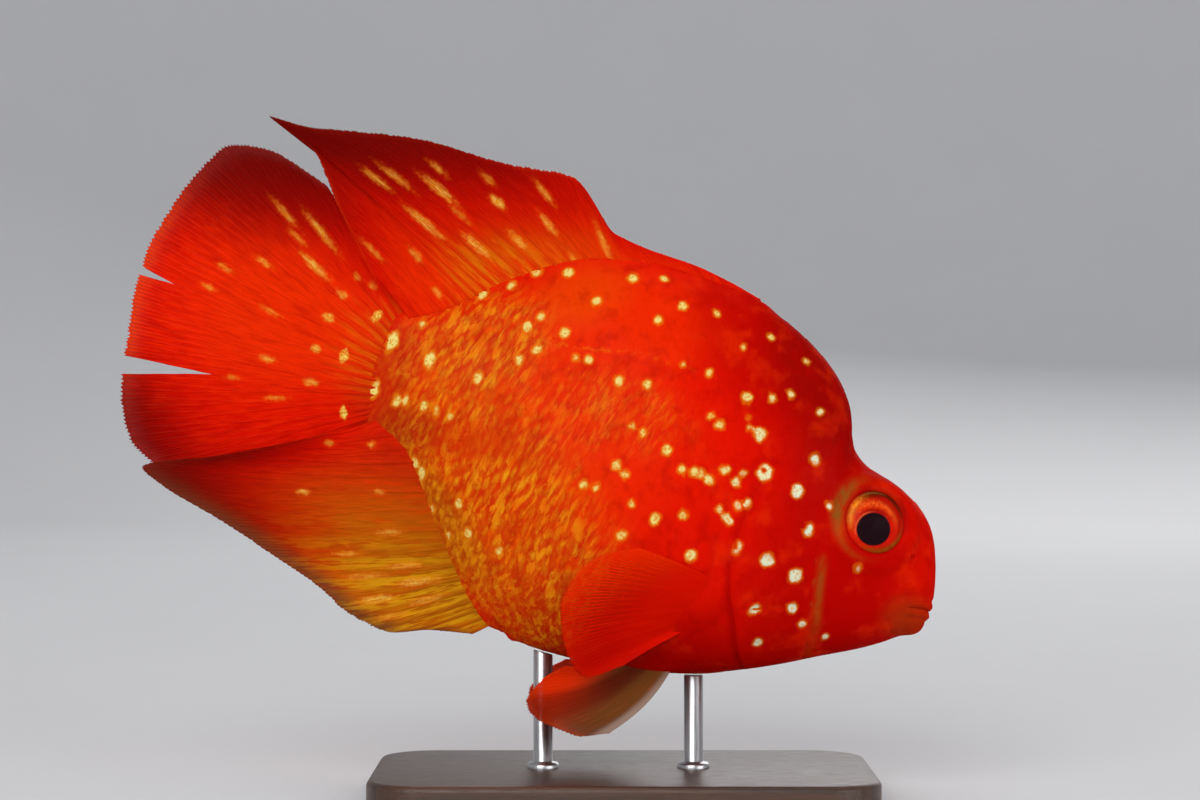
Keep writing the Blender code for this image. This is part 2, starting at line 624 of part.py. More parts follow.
def paint(objects):
    """Each piece's own material, from the photograph's colours."""
    finishes = {
        "head": ((0.72, 0.03, 0.01), 0.35, 0.0), "lower_jaw": ((0.66, 0.08, 0.02), 0.35, 0.0),
        "gill": ((0.75, 0.04, 0.01), 0.35, 0.0), "torso": ((0.86, 0.13, 0.01), 0.35, 0.0),
        "tail": ((0.80, 0.12, 0.01), 0.35, 0.0), "eye": ((0.02, 0.01, 0.01), 0.08, 0.0),
        "dorsal": ((0.80, 0.05, 0.01), 0.4, 0.0), "anal": ((0.78, 0.16, 0.01), 0.4, 0.0),
        "caudal": ((0.82, 0.03, 0.01), 0.4, 0.0), "pectoral": ((0.80, 0.07, 0.01), 0.4, 0.0),
        "pelvic": ((0.80, 0.20, 0.02), 0.4, 0.0), "stand_base": ((0.12, 0.06, 0.03), 0.45, 0.0),
        "stand_rod": ((0.60, 0.60, 0.60), 0.25, 1.0),
    }
    for obj in objects:
        kind = next(key for key in finishes if obj.name.startswith(key))
        obj.data.materials.clear()
        obj.data.materials.append(material(obj.name, *finishes[kind]))
        obj.data.shade_smooth()
        obj.data.set_sharp_from_angle(angle=math.radians(40))


def main():
    for obj in list(bpy.data.objects):
        bpy.data.objects.remove(obj)
    body = body_solid("body")
    fish = make_head() + make_trunk(body) + make_fins()
    bpy.data.objects.remove(body)

    pose = bpy.data.objects.new("fish_pose", None)
    pose.location = Vector(SNOUT_AT) * MM
    pose.rotation_euler = (0.0, DIP, 0.0)
    bpy.context.scene.collection.objects.link(pose)
    bpy.context.view_layer.update()
    stand = [make_base()] + make_rods(pose.matrix_world)
    for obj in fish:
        obj.parent = pose
    paint(fish + stand)

    whole = bpy.data.collections.new("blood_parrot_cichlid")
    bpy.context.scene.collection.children.link(whole)
    for obj in fish + stand + [pose]:
        bpy.context.scene.collection.objects.unlink(obj)
        whole.objects.link(obj)


main()
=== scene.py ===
"""The looks of a life-size blood parrot cichlid on its small display stand.

The fish is worked out in its own frame, in millimetres, as in the part's source: s runs back from the tip
of the snout, y runs to the fish's left and w runs up. to_world tips that frame nose down and lifts it onto
the stand.
"""

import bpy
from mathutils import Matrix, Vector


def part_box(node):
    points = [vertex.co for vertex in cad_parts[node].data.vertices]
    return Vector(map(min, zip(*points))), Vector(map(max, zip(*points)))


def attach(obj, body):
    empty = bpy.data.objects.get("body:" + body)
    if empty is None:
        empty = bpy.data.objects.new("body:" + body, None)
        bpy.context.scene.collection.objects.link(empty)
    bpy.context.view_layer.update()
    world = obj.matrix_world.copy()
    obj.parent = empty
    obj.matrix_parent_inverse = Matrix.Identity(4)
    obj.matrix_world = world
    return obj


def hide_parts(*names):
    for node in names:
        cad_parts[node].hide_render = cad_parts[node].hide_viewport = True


bl_info = {
    "name": "Blood Parrot Cichlid",
    "version": (1, 0, 0),
    "blender": (4, 5, 0),
    "location": "View3D > Sidebar > Cichlid",
    "description": "Skin, scales, eyes, fins and stand of a life-size aquarium fish",
    "category": "Add Mesh",
}

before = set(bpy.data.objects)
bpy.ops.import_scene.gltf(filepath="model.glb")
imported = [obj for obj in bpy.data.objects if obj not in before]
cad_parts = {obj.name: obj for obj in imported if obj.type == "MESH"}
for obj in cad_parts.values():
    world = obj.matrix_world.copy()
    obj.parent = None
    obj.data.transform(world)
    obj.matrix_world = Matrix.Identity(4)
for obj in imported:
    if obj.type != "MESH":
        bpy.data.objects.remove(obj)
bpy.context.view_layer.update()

import math
from dataclasses import dataclass

import bmesh
import bpy
import numpy as np
from bpy.props import FloatProperty, FloatVectorProperty, IntProperty, PointerProperty
from mathutils import Matrix, Vector

MM = 0.001

# Pose: how far the nose dips, and where the tip of the snout is from the middle of the stand's underside
DIP = math.radians(20.0)
SNOUT_AT = (63.4, 0.0, 30.6)

# Side view of the body, as (s, w) along the back and along the belly
BODY_LENGTH = 97.5
BACK_LINE = [
    (0.0, -1.9), (0.15, 0.4), (0.8, 3.1), (1.9, 6.2), (3.0, 8.6), (4.3, 10.6), (6.1, 12.3), (8.2, 13.5),
    (10.3, 14.3), (13.0, 15.1), (16.5, 16.1), (19.6, 18.0), (20.7, 19.8), (21.9, 22.7), (23.4, 25.3),
    (26.5, 28.3), (31.8, 31.4), (38.0, 33.7), (45.0, 34.8), (52.0, 34.8), (58.5, 34.4), (64.5, 33.4),
    (69.0, 31.9), (73.4, 29.4), (78.5, 25.4), (83.6, 21.0), (88.6, 16.9), (92.5, 14.7), (95.5, 12.3),
    (97.5, 5.0),
]
BELLY_LINE = [
    (0.0, -1.9), (0.15, -4.6), (0.9, -5.8), (3.0, -6.9), (5.5, -8.9), (8.2, -10.8), (13.7, -14.1),
    (19.1, -17.4), (24.7, -20.4), (30.3, -23.1), (36.3, -25.0), (42.5, -26.4), (50.0, -27.7), (57.0, -28.2),
    (63.0, -27.3), (68.0, -24.6), (72.5, -20.4), (77.0, -15.6), (81.5, -10.6), (86.0, -6.9), (91.0, -4.9),
    (95.5, -2.4), (97.5, 5.0),
]

# Top view and cross-sections: half width, the level of the widest point, and how sharp the back's ridge is
HALF_WIDTH = [
    (0.0, 0.0), (0.3, 2.4), (1.0, 3.7), (3.0, 5.4), (6.0, 7.1), (10.0, 8.8), (14.0, 9.9), (20.0, 11.3),
    (27.0, 12.7), (34.0, 13.5), (42.0, 13.8), (50.0, 13.3), (58.0, 12.0), (66.0, 9.9), (74.0, 7.3),
    (82.0, 5.0), (88.0, 3.5), (92.0, 2.2), (95.5, 0.95), (97.5, 0.0),
]
WIDEST_LEVEL = [(0.0, -1.9), (6.0, -1.2), (14.0, 0.8), (25.0, -1.0), (40.0, -3.0), (55.0, -2.0), (70.0, 2.0),
                (85.0, 5.0), (97.5, 5.0)]
RIDGE = [(0.0, 0.9), (5.0, 0.76), (15.0, 0.7), (21.0, 0.8), (28.0, 1.0), (42.0, 1.2), (60.0, 1.3),
         (80.0, 1.15), (97.5, 1.0)]
KEEL = [(0.0, 1.0), (48.0, 1.0), (64.0, 1.35), (80.0, 1.35), (90.0, 1.1), (97.5, 1.0)]

# Head: eye, nostril, mouth and gill cover. The gill and cheek lines are (w, s)
EYE_AT = (13.8, 8.3)
EYE_RADIUS = 5.1
EYE_HALF_DEPTH = 2.7
EYE_SUNK = 1.0
EYE_TURN = 0.8
RIM_RADIUS = 5.5
ORBIT_RISE = 0.7
ORBIT_REACH = 4.0
NOSTRIL_AT = (6.1, 5.4)
MOUTH_LINE = [(0.0, -1.9), (0.6, -1.55), (1.6, -1.6), (3.5, -1.95), (6.4, -2.7)]
MOUTH_CORNER = 5.2
MOUTH_DEPTH = 1.6
GILL_LINE = [(-32.0, 22.0), (-20.2, 23.9), (-18.1, 25.9), (-13.2, 28.6), (-9.1, 30.9), (-4.6, 32.4),
             (1.9, 32.8), (9.5, 32.0), (14.0, 30.6), (20.0, 29.3), (42.0, 28.6)]
CHEEK_LINE = [(-32.0, 14.0), (-18.0, 15.2), (-11.7, 16.0), (-5.7, 17.9), (0.4, 19.4), (5.0, 20.2),
              (11.0, 21.6), (42.0, 23.0)]
GILL_SPAN = (-17.6, 10.6)
GILL_RISE = 0.42
SHOULDER_RISE = 0.3

# The eyeball's mesh, how far the iris lies below its dome, and the clear dome over it
EYE_ROWS = 150
EYE_AROUND = 160
IRIS_SUNK = 0.5
CORNEA_RADIUS = 4.86
CORNEA_FOOT = 1.1
CORNEA_RISE = 1.62
CORNEA_UNDERSIDE = [(4.6, 0.4), (2.0, 0.2), (0.0, 0.2)]
# The pupil's middle from the eye's, level and plumb, and its two radii
PUPIL_AT = (-0.6, -1.25)
PUPIL_RADII = (2.74, 2.52)

# The skin's mesh: rings per mm along the fish, with one ring laid along the gill cover's free edge
RING_DENSITY = [(0.0, 4.6), (20.0, 4.2), (25.0, 2.6), (29.6, 3.2), (30.6, 9.0), (31.8, 9.0), (33.2, 2.4),
                (46.0, 1.2), (97.5, 1.2)]
GILL_RING_AT = 31.0
GILL_RINGS_BENT = (13.0, 62.0)
RING_SAMPLES = 6000

# Scales: pitch along the fish and half the pitch round it, by station, and where the scaly skin begins (w, s)
SCALE_PITCH = [(18.0, 1.7), (32.0, 2.15), (50.0, 2.45), (70.0, 2.3), (84.0, 1.8), (97.5, 1.35)]
SCALE_ROW = [(18.0, 1.2), (32.0, 1.45), (50.0, 1.62), (70.0, 1.5), (84.0, 1.15), (97.5, 0.85)]
SCALE_FRONT = [(-32.0, 24.6), (-20.0, 26.6), (-13.2, 30.6), (-4.6, 34.3), (1.9, 34.7), (9.5, 33.4),
               (12.5, 28.5), (16.0, 23.0), (24.0, 22.5), (42.0, 22.5)]
COAT_DEPTH = 0.18
SCALES_SPAN = (18.0, 95.6)
SCALE_ROWS = 30
TO_SCALE_MIDDLE = 1.4
TO_SCALE_TIP = 2.9
# Where no scale has its root: from and to, against the gill cover's free edge, and half that strip's height
BARE_GILL = (-3.8, 1.1)
BARE_GILL_HALF = 16.0
SCALE_PARTS = [("front", 0.0, 49.0), ("middle", 49.0, 67.0), ("rear", 67.0, 99.0)]
SCALE_SEED = 21
# The table of arcs round the body: its stations, reach from the widest line, step, and points to an arc
ARC_STATIONS = 320
ARC_REACH = 52.0
ARC_STEP = 0.5
ARC_POINTS = 900
# A short way along and round the body, for the scales' normals, and a scale's patch of its bake map
NORMAL_STEP = 0.02
BAKE_PATCH = 0.003

SIDES = (("right", -1), ("left", 1))

# The picture: 1200 x 800 pixels, 6.4 of them to a millimetre at the fish's middle plane
PICTURE_SIZE = (1200, 800)
PICTURE_SCALE = 6.4
CAMERA_AT = (11.4, -450.0, 62.0)

# Pearly spots of the right side: the pixel and the size in pixels, as seen in the picture
BODY_PEARLS = [
    (568, 273, 11), (633, 278, 12), (664, 279, 9), (597, 301, 9), (683, 306, 9), (717, 313, 7),
    (658, 320, 9), (565, 333, 10), (743, 347, 6), (771, 337, 7), (575, 358, 7), (589, 359, 9),
    (806, 362, 7), (682, 365, 5), (709, 373, 7), (619, 381, 10), (647, 384, 8), (747, 398, 10),
    (772, 398, 7), (791, 394, 8), (820, 412, 8), (711, 416, 7), (719, 425, 9), (748, 418, 5),
    (750, 428, 6), (760, 434, 13), (632, 426, 6), (643, 432, 8), (667, 450, 10), (616, 465, 8),
    (815, 459, 10), (681, 470, 8), (694, 472, 9), (701, 474, 7), (709, 480, 9), (725, 470, 9),
    (743, 473, 6), (736, 482, 9), (765, 473, 16), (625, 475, 8), (584, 485, 8), (596, 487, 8),
    (797, 491, 13), (631, 504, 7), (738, 506, 8), (746, 503, 9), (718, 509, 7), (726, 517, 9),
    (729, 521, 8), (683, 515, 9), (655, 519, 10), (829, 506, 8), (622, 535, 10), (808, 530, 12),
    (691, 555, 10), (738, 546, 7), (735, 551, 6), (767, 560, 13), (795, 576, 14), (858, 567, 8),
    (754, 609, 11), (792, 608, 10), (802, 624, 8), (758, 641, 9), (825, 637, 7), (537, 272, 10),
    (512, 285, 8), (483, 294, 10), (541, 317, 9), (527, 327, 10), (537, 350, 9), (519, 360, 9),
    (430, 360, 11), (478, 378, 8), (423, 323, 6), (422, 307, 6), (397, 401, 9), (405, 401, 8),
    (424, 406, 8), (436, 412, 6), (450, 416, 6), (415, 463, 8), (422, 473, 9), (420, 484, 7),
    (459, 504, 9), (432, 508, 7), (468, 533, 9), (448, 535, 7), (499, 550, 8), (392, 342, 13),
    (374, 390, 11),
]
# Red places that cut into those spots and make rings and crescents of them
PEARL_HOLES = [(764, 471, 6), (803, 526, 9), (735, 546, 7), (795, 487, 3), (744, 500, 3), (640, 380, 4)]
PEARL_SEED = 7
# What the fields hold away from every spot and streak, in mm, and how many pixels off a fin its streak may be
NO_PEARL = 9.0
PEARL_ASTRAY = 4.0
# Pearly streaks of the fins, and painted highlights on the anal fin: the pixel, the width in pixels, and how
# much longer than wide the streak is
FIN_PEARLS_AND_HIGHLIGHTS = [
    (345, 356, 17, 0.6), (342, 413, 16, 0.5), (379, 317, 16, 0.6), (318, 349, 9, 1.1), (329, 318, 10, 1.3),
    (342, 294, 8, 1.4), (311, 382, 8, 1.7), (357, 276, 6, 1.4), (372, 285, 7, 1.3), (267, 359, 7, 2.2),
    (313, 265, 8, 4.5), (322, 232, 7, 6.5), (284, 213, 6, 5.0), (225, 268, 6, 2.5), (207, 288, 5, 2.5),
    (262, 262, 6, 3.0), (270, 311, 5, 3.5), (296, 236, 5, 4.0), (235, 378, 5, 2.5), (275, 397, 5, 3.5),
    (371, 445, 6, 1.2), (330, 443, 6, 1.4), (305, 491, 8, 1.4), (378, 492, 6, 1.6),
    (376, 179, 6, 5.0), (394, 176, 6, 5.5), (440, 190, 8, 5.0), (499, 202, 9, 2.0), (425, 224, 8, 5.5),
    (477, 247, 8, 4.0), (417, 256, 7, 2.4), (517, 238, 8, 3.0), (548, 225, 7, 3.5), (544, 192, 6, 4.0),
    (604, 244, 6, 6.0), (372, 250, 5, 4.5), (437, 293, 6, 2.0), (460, 214, 5, 4.0), (487, 178, 5, 3.0),
    (437, 168, 5, 3.5), (575, 262, 5, 3.0),
    # The anal fin's: painted highlights on its gilt front, drawn out along the rays
    (376, 599, 8, 4.5), (365, 576, 6, 6.0), (418, 581, 8, 5.0), (388, 533, 6, 4.0), (426, 599, 7, 4.5),
    (403, 566, 6, 5.0), (347, 553, 5, 4.5), (391, 616, 5, 6.0),
]

# Soft zones of the body's colour: colour, middle (s, w), reach along and across, tilt in degrees, strength
FLESH_ZONES = [
    ("vermilion", (67.0, 4.0), (21.0, 18.0), 0.0, 0.7),
    ("amber", (70.0, -5.0), (26.0, 11.5), 38.0, 0.28),
    ("amber", (79.0, 13.0), (10.0, 7.5), -32.0, 0.25),
    ("vermilion", (60.0, 25.0), (14.0, 8.0), -12.0, 0.6),
    ("amber", (68.0, 26.0), (8.0, 5.0), -35.0, 0.3),
    ("amber", (60.0, -19.0), (15.0, 8.0), 30.0, 0.35),
    ("brass", (78.0, -13.5), (15.0, 4.5), 36.0, 0.6),
    ("rust", (75.5, -0.5), (10.0, 4.0), -12.0, 0.35),
    ("rust", (87.5, -3.0), (6.0, 4.4), -12.0, 0.75),
    ("scarlet", (95.0, 5.0), (5.5, 13.0), 0.0, 0.6),
    ("rust", (91.5, 4.5), (4.0, 8.0), 0.0, 0.5),
    ("blood", (6.0, -2.0), (27.0, 40.0), 0.0, 0.95),
    ("blood", (34.0, 26.5), (20.0, 10.5), 32.0, 0.75),
    ("maroon", (29.0, 28.0), (13.0, 8.0), 45.0, 0.5),
    ("maroon", (24.0, 14.0), (5.0, 8.0), 0.0, 0.25),
    # Darker along the breast and belly: the fish's own blood red, partly painted shade of the underside
    ("blood", (41.0, -22.0), (19.0, 8.5), -6.0, 0.85),
    ("scarlet", (0.0, 5.0), (8.5, 10.0), 0.0, 0.6),
    ("scarlet", (9.5, 11.5), (5.0, 4.0), 30.0, 0.5),
    ("rust", (3.2, -3.8), (4.1, 3.7), 0.0, 0.9),
]
GOLD_ZONES = [((69.0, -6.0), (25.0, 11.0), 38.0, 1.0), ((80.0, 13.0), (11.0, 8.0), -32.0, 0.95),
              ((60.0, 10.0), (13.0, 6.0), -10.0, 0.4), ((60.0, -19.0), (15.0, 8.0), 30.0, 0.85),
              ((76.0, -14.0), (17.0, 7.0), 36.0, 0.9)]
DULL_ZONES = [((75.5, -0.5), (8.0, 3.6), -12.0, 0.75)]
# The lateral line's two lengths, as pieces from one (s, w) to another
LATERAL_LINE = [((40.0, 21.5), (56.0, 20.4)), ((56.0, 20.4), (74.4, 16.3)), ((71.0, 5.0), (93.0, 5.0))]

# The fins, as in the part's source: (root s or w, tip s, tip w, tip y) of some rays, and the number of rays
DORSAL = [
    (39.0, 41.6, 35.2, 0.0), (43.5, 47.5, 36.2, 0.0), (48.5, 53.6, 36.7, 0.0), (54.0, 60.4, 36.5, 0.0),
    (61.0, 66.2, 37.0, -0.4), (64.5, 76.0, 43.1, -1.0), (68.0, 86.0, 41.4, -1.8), (72.0, 98.0, 40.6, -2.6),
    (76.0, 110.0, 37.9, -3.2), (79.6, 117.5, 36.0, -3.6), (82.0, 123.0, 35.6, -3.8),
    (84.2, 115.8, 33.6, -3.6), (87.4, 108.0, 25.9, -3.2), (91.9, 99.8, 18.2, -2.7),
]
ANAL = [
    (62.5, 66.0, -29.6, 0.0), (64.5, 72.4, -31.2, -0.3), (66.5, 79.0, -33.7, -0.8), (68.5, 84.5, -33.2, -1.2),
    (70.5, 91.0, -30.7, -1.7), (73.0, 99.0, -28.5, -2.3), (76.0, 108.0, -26.2, -2.9),
    (79.0, 119.0, -24.0, -3.4), (81.5, 123.0, -22.2, -3.8), (84.0, 113.0, -16.9, -3.4),
    (87.0, 104.0, -11.6, -3.0), (91.3, 98.2, -8.2, -2.4),
]
CAUDAL = [
    (13.5, 111.6, 28.9, 1.4), (11.6, 121.5, 31.0, 2.2), (9.9, 127.8, 29.7, 2.6), (8.4, 131.3, 24.4, 2.8),
    (6.9, 133.6, 17.2, 3.0), (5.4, 134.9, 9.5, 3.1), (3.9, 134.5, 3.5, 3.1), (2.4, 133.2, -3.0, 3.0),
    (1.0, 132.1, -9.0, 2.8), (-0.4, 129.8, -15.5, 2.6), (-1.6, 125.5, -20.5, 2.4), (-2.6, 118.5, -22.2, 2.1),
    (-3.8, 108.0, -17.5, 1.5),
]
PECTORAL = [
    (-8.2, 46.5, -7.2, 15.6), (-9.1, 51.4, -10.0, 15.8), (-10.0, 54.2, -14.2, 15.6),
    (-10.9, 54.8, -18.6, 14.9), (-11.8, 53.4, -22.9, 13.6), (-12.7, 51.0, -26.6, 12.0),
    (-13.6, 47.6, -29.0, 10.4), (-14.4, 42.6, -25.4, 10.6),
]
PELVIC = [
    (34.6, 40.8, -36.2, 6.2), (36.4, 46.0, -38.2, 7.0), (38.0, 51.4, -37.9, 7.5), (39.3, 54.6, -35.4, 7.6),
    (40.6, 53.4, -31.8, 7.0), (41.9, 50.8, -28.7, 6.4),
]
CAUDAL_ROOT_S = 92.0
CAUDAL_ROOT_Y = 0.25
PECTORAL_ROOT_S = (31.6, 32.8)
PELVIC_ROOT_Y = 3.2
STALK_LEAN = 0.9
LEAN_FROM, LEAN_TO = 78.0, 87.5
ROOT_SUNK = 1.6
RIPPLE_TURNS = 2.5
RIPPLE_TWIST = 2.0
TAIL_SPLITS = [(7.4, 0.13, 0.14), (10.6, 0.34, 0.3)]
# How a ray branches: the share of the rays' spacing that a branch parts by, and where along the fin it does
BRANCHES = [(0.25, 0.18, 0.55), (0.125, 0.45, 0.8), (0.0625, 0.66, 0.98)]

# Fin zones in shares of the fin: colour, middle (across the rays, along them), reach, strength
FIN_ZONES = {
    # The dorsal fin's dark rear tip, in blood red and maroon, is partly painted shade
    "dorsal": [("vermilion", (0.3, 0.3), (0.4, 0.5), 0.6), ("amber", (0.42, 0.0), (0.32, 0.35), 0.7),
               ("amber", (0.66, 0.03), (0.22, 0.2), 0.8), ("vermilion", (0.9, 0.1), (0.14, 0.5), 0.9),
               ("blood", (0.60, 0.6), (0.42, 0.55), 0.35), ("blood", (0.62, 0.95), (0.34, 0.6), 0.8),
               ("maroon", (0.68, 1.08), (0.26, 0.5), 0.93)],
    "anal": [("rust", (0.5, 0.1), (0.5, 0.55), 0.7), ("amber", (0.42, 0.35), (0.32, 0.75), 0.4),
             ("brass", (0.27, 0.25), (0.38, 0.8), 0.85), ("olive", (0.02, 0.95), (0.3, 0.3), 0.8),
             ("blood", (0.70, 0.85), (0.28, 0.42), 0.85), ("maroon", (0.70, 1.08), (0.24, 0.4), 0.9),
             ("sepia", (0.32, 1.04), (0.4, 0.2), 0.85)],
    # On the caudal fin, the vermilion strip along the lower edge is partly painted light against the anal
    # fin's shadow
    "caudal": [("rust", (0.5, 0.0), (0.5, 0.14), 0.6), ("vermilion", (0.42, 0.38), (0.28, 0.42), 0.9),
               ("blood", (0.10, 0.95), (0.22, 0.5), 0.85), ("maroon", (0.15, 1.08), (0.19, 0.5), 0.9),
               ("blood", (0.82, 1.04), (0.17, 0.38), 0.85), ("maroon", (0.8, 1.12), (0.16, 0.32), 0.8),
               ("vermilion", (1.0, 0.55), (0.06, 0.5), 0.8)],
    "pectoral": [("blood", (0.5, 0.3), (0.9, 0.7), 0.45), ("vermilion", (0.1, 1.0), (0.4, 0.5), 0.85),
                 ("blood", (0.95, 0.9), (0.3, 0.4), 0.5)],
    "pelvic": [("brass", (0.2, 0.3), (0.14, 0.5), 0.15), ("ivory", (0.0, 0.75), (0.1, 0.8), 0.6),
               ("vermilion", (0.92, 0.95), (0.5, 0.6), 0.95), ("rust", (0.5, 1.0), (0.3, 0.12), 0.7),
               ("maroon", (0.5, 0.5), (0.16, 0.9), 0.6)],
}
# Colours that let no light through, so that a membrane glows less under them
DARK_COLOURS = ("blood", "maroon", "olive", "brass", "sepia", "ivory")
# Where a fin is gilt between its rays, in the same shares: middle, reach, strength
GILT_PLACES = {
    "dorsal": [((0.68, 0.0), (0.2, 0.26), 0.42)],
    "anal": [((0.2, 0.4), (0.3, 0.6), 1.0)],
    "caudal": [((0.35, 0.0), (0.35, 0.22), 0.3)],
    "pectoral": [],
    "pelvic": [],
}
# Places where a fin fades out, in the same shares
SOFT_PLACES = {
    "dorsal": [],
    "anal": [((0.97, 1.02), (0.2, 0.1), 0.85)],
    "caudal": [((1.01, 0.8), (0.025, 0.45), 0.9)],
    "pectoral": [((0.3, 1.0), (0.45, 0.5), 0.75)],
    "pelvic": [((0.2, 1.05), (0.5, 0.2), 0.2)],
}

# Stand, in mm: the rounding of the base's corners, a rod's collar as (rod radii, mm beyond them, height over
# the base), and the rod's top as (rod radii, distance under the belly's line)
BASE_CORNER = 9.0
ROD_SIDES = 48
COLLAR = [(1.0, 0.0, -1.5), (1.0, 0.0, 0.0), (1.7, 0.0, 0.0), (1.7, 0.0, 0.5), (1.55, 0.0, 0.8),
          (1.0, 0.2, 0.9), (1.0, 0.0, 1.1)]
ROD_TOP = [(1.0, 0.35), (0.93, 0.22)]

# Stage, in metres: the floor, and each lamp's place, size and strength
FLOOR_SIDES = 96
FLOOR_RADIUS = 1.0
FLOOR_CURVE = 0.7
WALL_TOP = 1.9
LAMPS = {
    "key_lamp": ((-0.35, -1.0, 0.6), 0.8, 7.8),
    "fill_lamp": ((0.95, -0.8, 0.12), 0.9, 6.5),
    "top_lamp": ((0.05, 0.15, 1.15), 0.8, 2.0),
    "back_lamp": ((0.35, 1.0, 0.6), 0.8, 3.5),
}
LAMPS_AIM = (0.0, 0.0, 0.06)
ROOM_COLOUR = (0.93, 0.95, 1.0, 1.0)
ROOM_LIGHT = 0.28


def curve_through(points):
    """A smooth y(x) through points with rising x, which doesn't overshoot them."""
    x, y = np.array(points, float).T
    step = np.diff(x)
    slope = np.diff(y) / step
    tangent = np.zeros_like(y)
    tangent[0], tangent[-1] = slope[0], slope[-1]
    before, after = slope[:-1], slope[1:]
    turns = before * after <= 0
    near, far = 2 * step[1:] + step[:-1], step[1:] + 2 * step[:-1]
    safe_before, safe_after = np.where(turns, 1.0, before), np.where(turns, 1.0, after)
    tangent[1:-1] = np.where(turns, 0.0, (near + far) / (near / safe_before + far / safe_after))

    def at(value):
        value = np.clip(value, x[0], x[-1])
        i = np.clip(np.searchsorted(x, value, side="right") - 1, 0, len(step) - 1)
        t = (value - x[i]) / step[i]
        rise = y[i + 1] - y[i]
        bend = t * (1 - t) * ((1 - t) * (tangent[i] * step[i] - rise) - t * (tangent[i + 1] * step[i] - rise))
        return y[i] + t * rise + bend

    return at


def turn(s):
    """The polar angle of a station, which makes a profile round at the snout and at the tail."""
    return np.arccos(np.clip(1 - 2 * np.asarray(s, float) / BODY_LENGTH, -1, 1))


def profile(points):
    """A curve over the stations that is round at both ends."""
    along = curve_through([(float(turn(s)), value) for s, value in points])
    return lambda s: along(turn(s))


back = profile(BACK_LINE)
belly = profile(BELLY_LINE)
half_width = profile(HALF_WIDTH)
widest_level = profile(WIDEST_LEVEL)
ridge = profile(RIDGE)
keel = profile(KEEL)
gill_edge = curve_through(GILL_LINE)
cheek_edge = curve_through(CHEEK_LINE)
scale_front = curve_through(SCALE_FRONT)
mouth = curve_through(MOUTH_LINE)


def ease(value, low, high):
    """A soft step from 0 at low to 1 at high."""
    t = np.clip((value - low) / (high - low), 0, 1)
    return t * t * (3 - 2 * t)


def bump(value, middle, reach):
    """A soft bump of height 1."""
    return np.exp(-((value - middle) / reach) ** 2)


def zone(s, w, middle, reach, tilt=0.0):
    """A patch with a flat middle and a soft edge, its long side tilted from s towards w."""
    c, d = math.cos(math.radians(tilt)), math.sin(math.radians(tilt))
    ds, dw = s - middle[0], w - middle[1]
    along, across = c * ds + d * dw, -d * ds + c * dw
    return np.exp(-((along / reach[0]) ** 2 + (across / reach[1]) ** 2) ** 2)


def strongest(s, w, patches):
    """The strength of the strongest of some patches: middle, reach, a tilt if it has one, and strength."""
    best = np.zeros_like(s)
    for *patch, strength in patches:
        best = np.maximum(best, strength * zone(s, w, *patch))
    return best


def lay(paint, mask, colour):
    """Lays a colour over painted points, as thick as the mask says."""
    paint += mask[:, None] * (colour - paint)


def body_point(s, angle):
    """Points (s, y, w) of the plain body, at angles from 0 on the back, down the left, to pi on the belly."""
    s, angle = np.broadcast_arrays(np.asarray(s, float), np.asarray(angle, float))
    level = widest_level(s)
    up = np.cos(angle)
    reach = np.where(up >= 0, back(s) - level, level - belly(s))
    side = np.abs(np.sin(angle)) ** np.where(up >= 0, ridge(s), keel(s))
    return np.stack([s, half_width(s) * side * np.sign(np.sin(angle)), level + up * reach], -1)


def flank(s, w):
    """The half width of the body at a station and a level."""
    level = widest_level(s)
    above = w >= level
    share = np.where(above, (w - level) / (back(s) - level), (level - w) / (level - belly(s)))
    side = np.sqrt(np.clip(1 - np.minimum(1.0, share) ** 2, 0, 1))
    return half_width(s) * side ** np.where(above, ridge(s), keel(s))


def seat_on_flank(s, w, reach):
    """The mean half width on a circle round a flank's point, and the slopes of that circle along s and w."""
    fore, aft = flank(s - reach, w), flank(s + reach, w)
    under, over = flank(s, w - reach), flank(s, w + reach)
    return (fore + aft + under + over) / 4, (aft - fore) / (2 * reach), (over - under) / (2 * reach)


def unit(vectors):
    return vectors / np.maximum(np.linalg.norm(vectors, axis=-1, keepdims=True), 1e-9)


def eye_frame(side):
    """An eyeball's middle, and its axes backwards, upwards and outwards, in the fish's frame."""
    surface, along, up = seat_on_flank(*EYE_AT, RIM_RADIUS)
    middle = np.array([EYE_AT[0], side * (surface + ORBIT_RISE - EYE_SUNK), EYE_AT[1]])
    outwards = unit(np.array([-along * EYE_TURN, side, -up * EYE_TURN]))
    backwards = unit(np.array([1.0, 0.0, 0.0]) - outwards[0] * outwards)
    upwards = np.cross(backwards, outwards) * side
    return middle, backwards, upwards, outwards


def to_world(points):
    """Points of the fish's frame, in mm, as world points in metres."""
    s, y, w = np.moveaxis(np.asarray(points, float), -1, 0)
    x = SNOUT_AT[0] - s * math.cos(DIP) + w * math.sin(DIP)
    z = SNOUT_AT[2] + s * math.sin(DIP) + w * math.cos(DIP)
    return np.stack([x, y, z], -1) * MM


def from_world(x, z):
    """The s and w of points at x and z, in world mm."""
    dx, dz = x - SNOUT_AT[0], z - SNOUT_AT[2]
    return -dx * math.cos(DIP) + dz * math.sin(DIP), dx * math.sin(DIP) + dz * math.cos(DIP)


def picture_scale(y):
    """The picture's pixels for a millimetre at this distance from the fish's middle plane."""
    return PICTURE_SCALE * -CAMERA_AT[1] / (y - CAMERA_AT[1])


def to_picture(points):
    """The pixels of the picture where points of the fish's frame show."""
    x, y, z = np.moveaxis(to_world(points) / MM, -1, 0)
    scale = picture_scale(y)
    return np.stack([PICTURE_SIZE[0] / 2 + (x - CAMERA_AT[0]) * scale,
                     PICTURE_SIZE[1] / 2 - (z - CAMERA_AT[2]) * scale], -1)


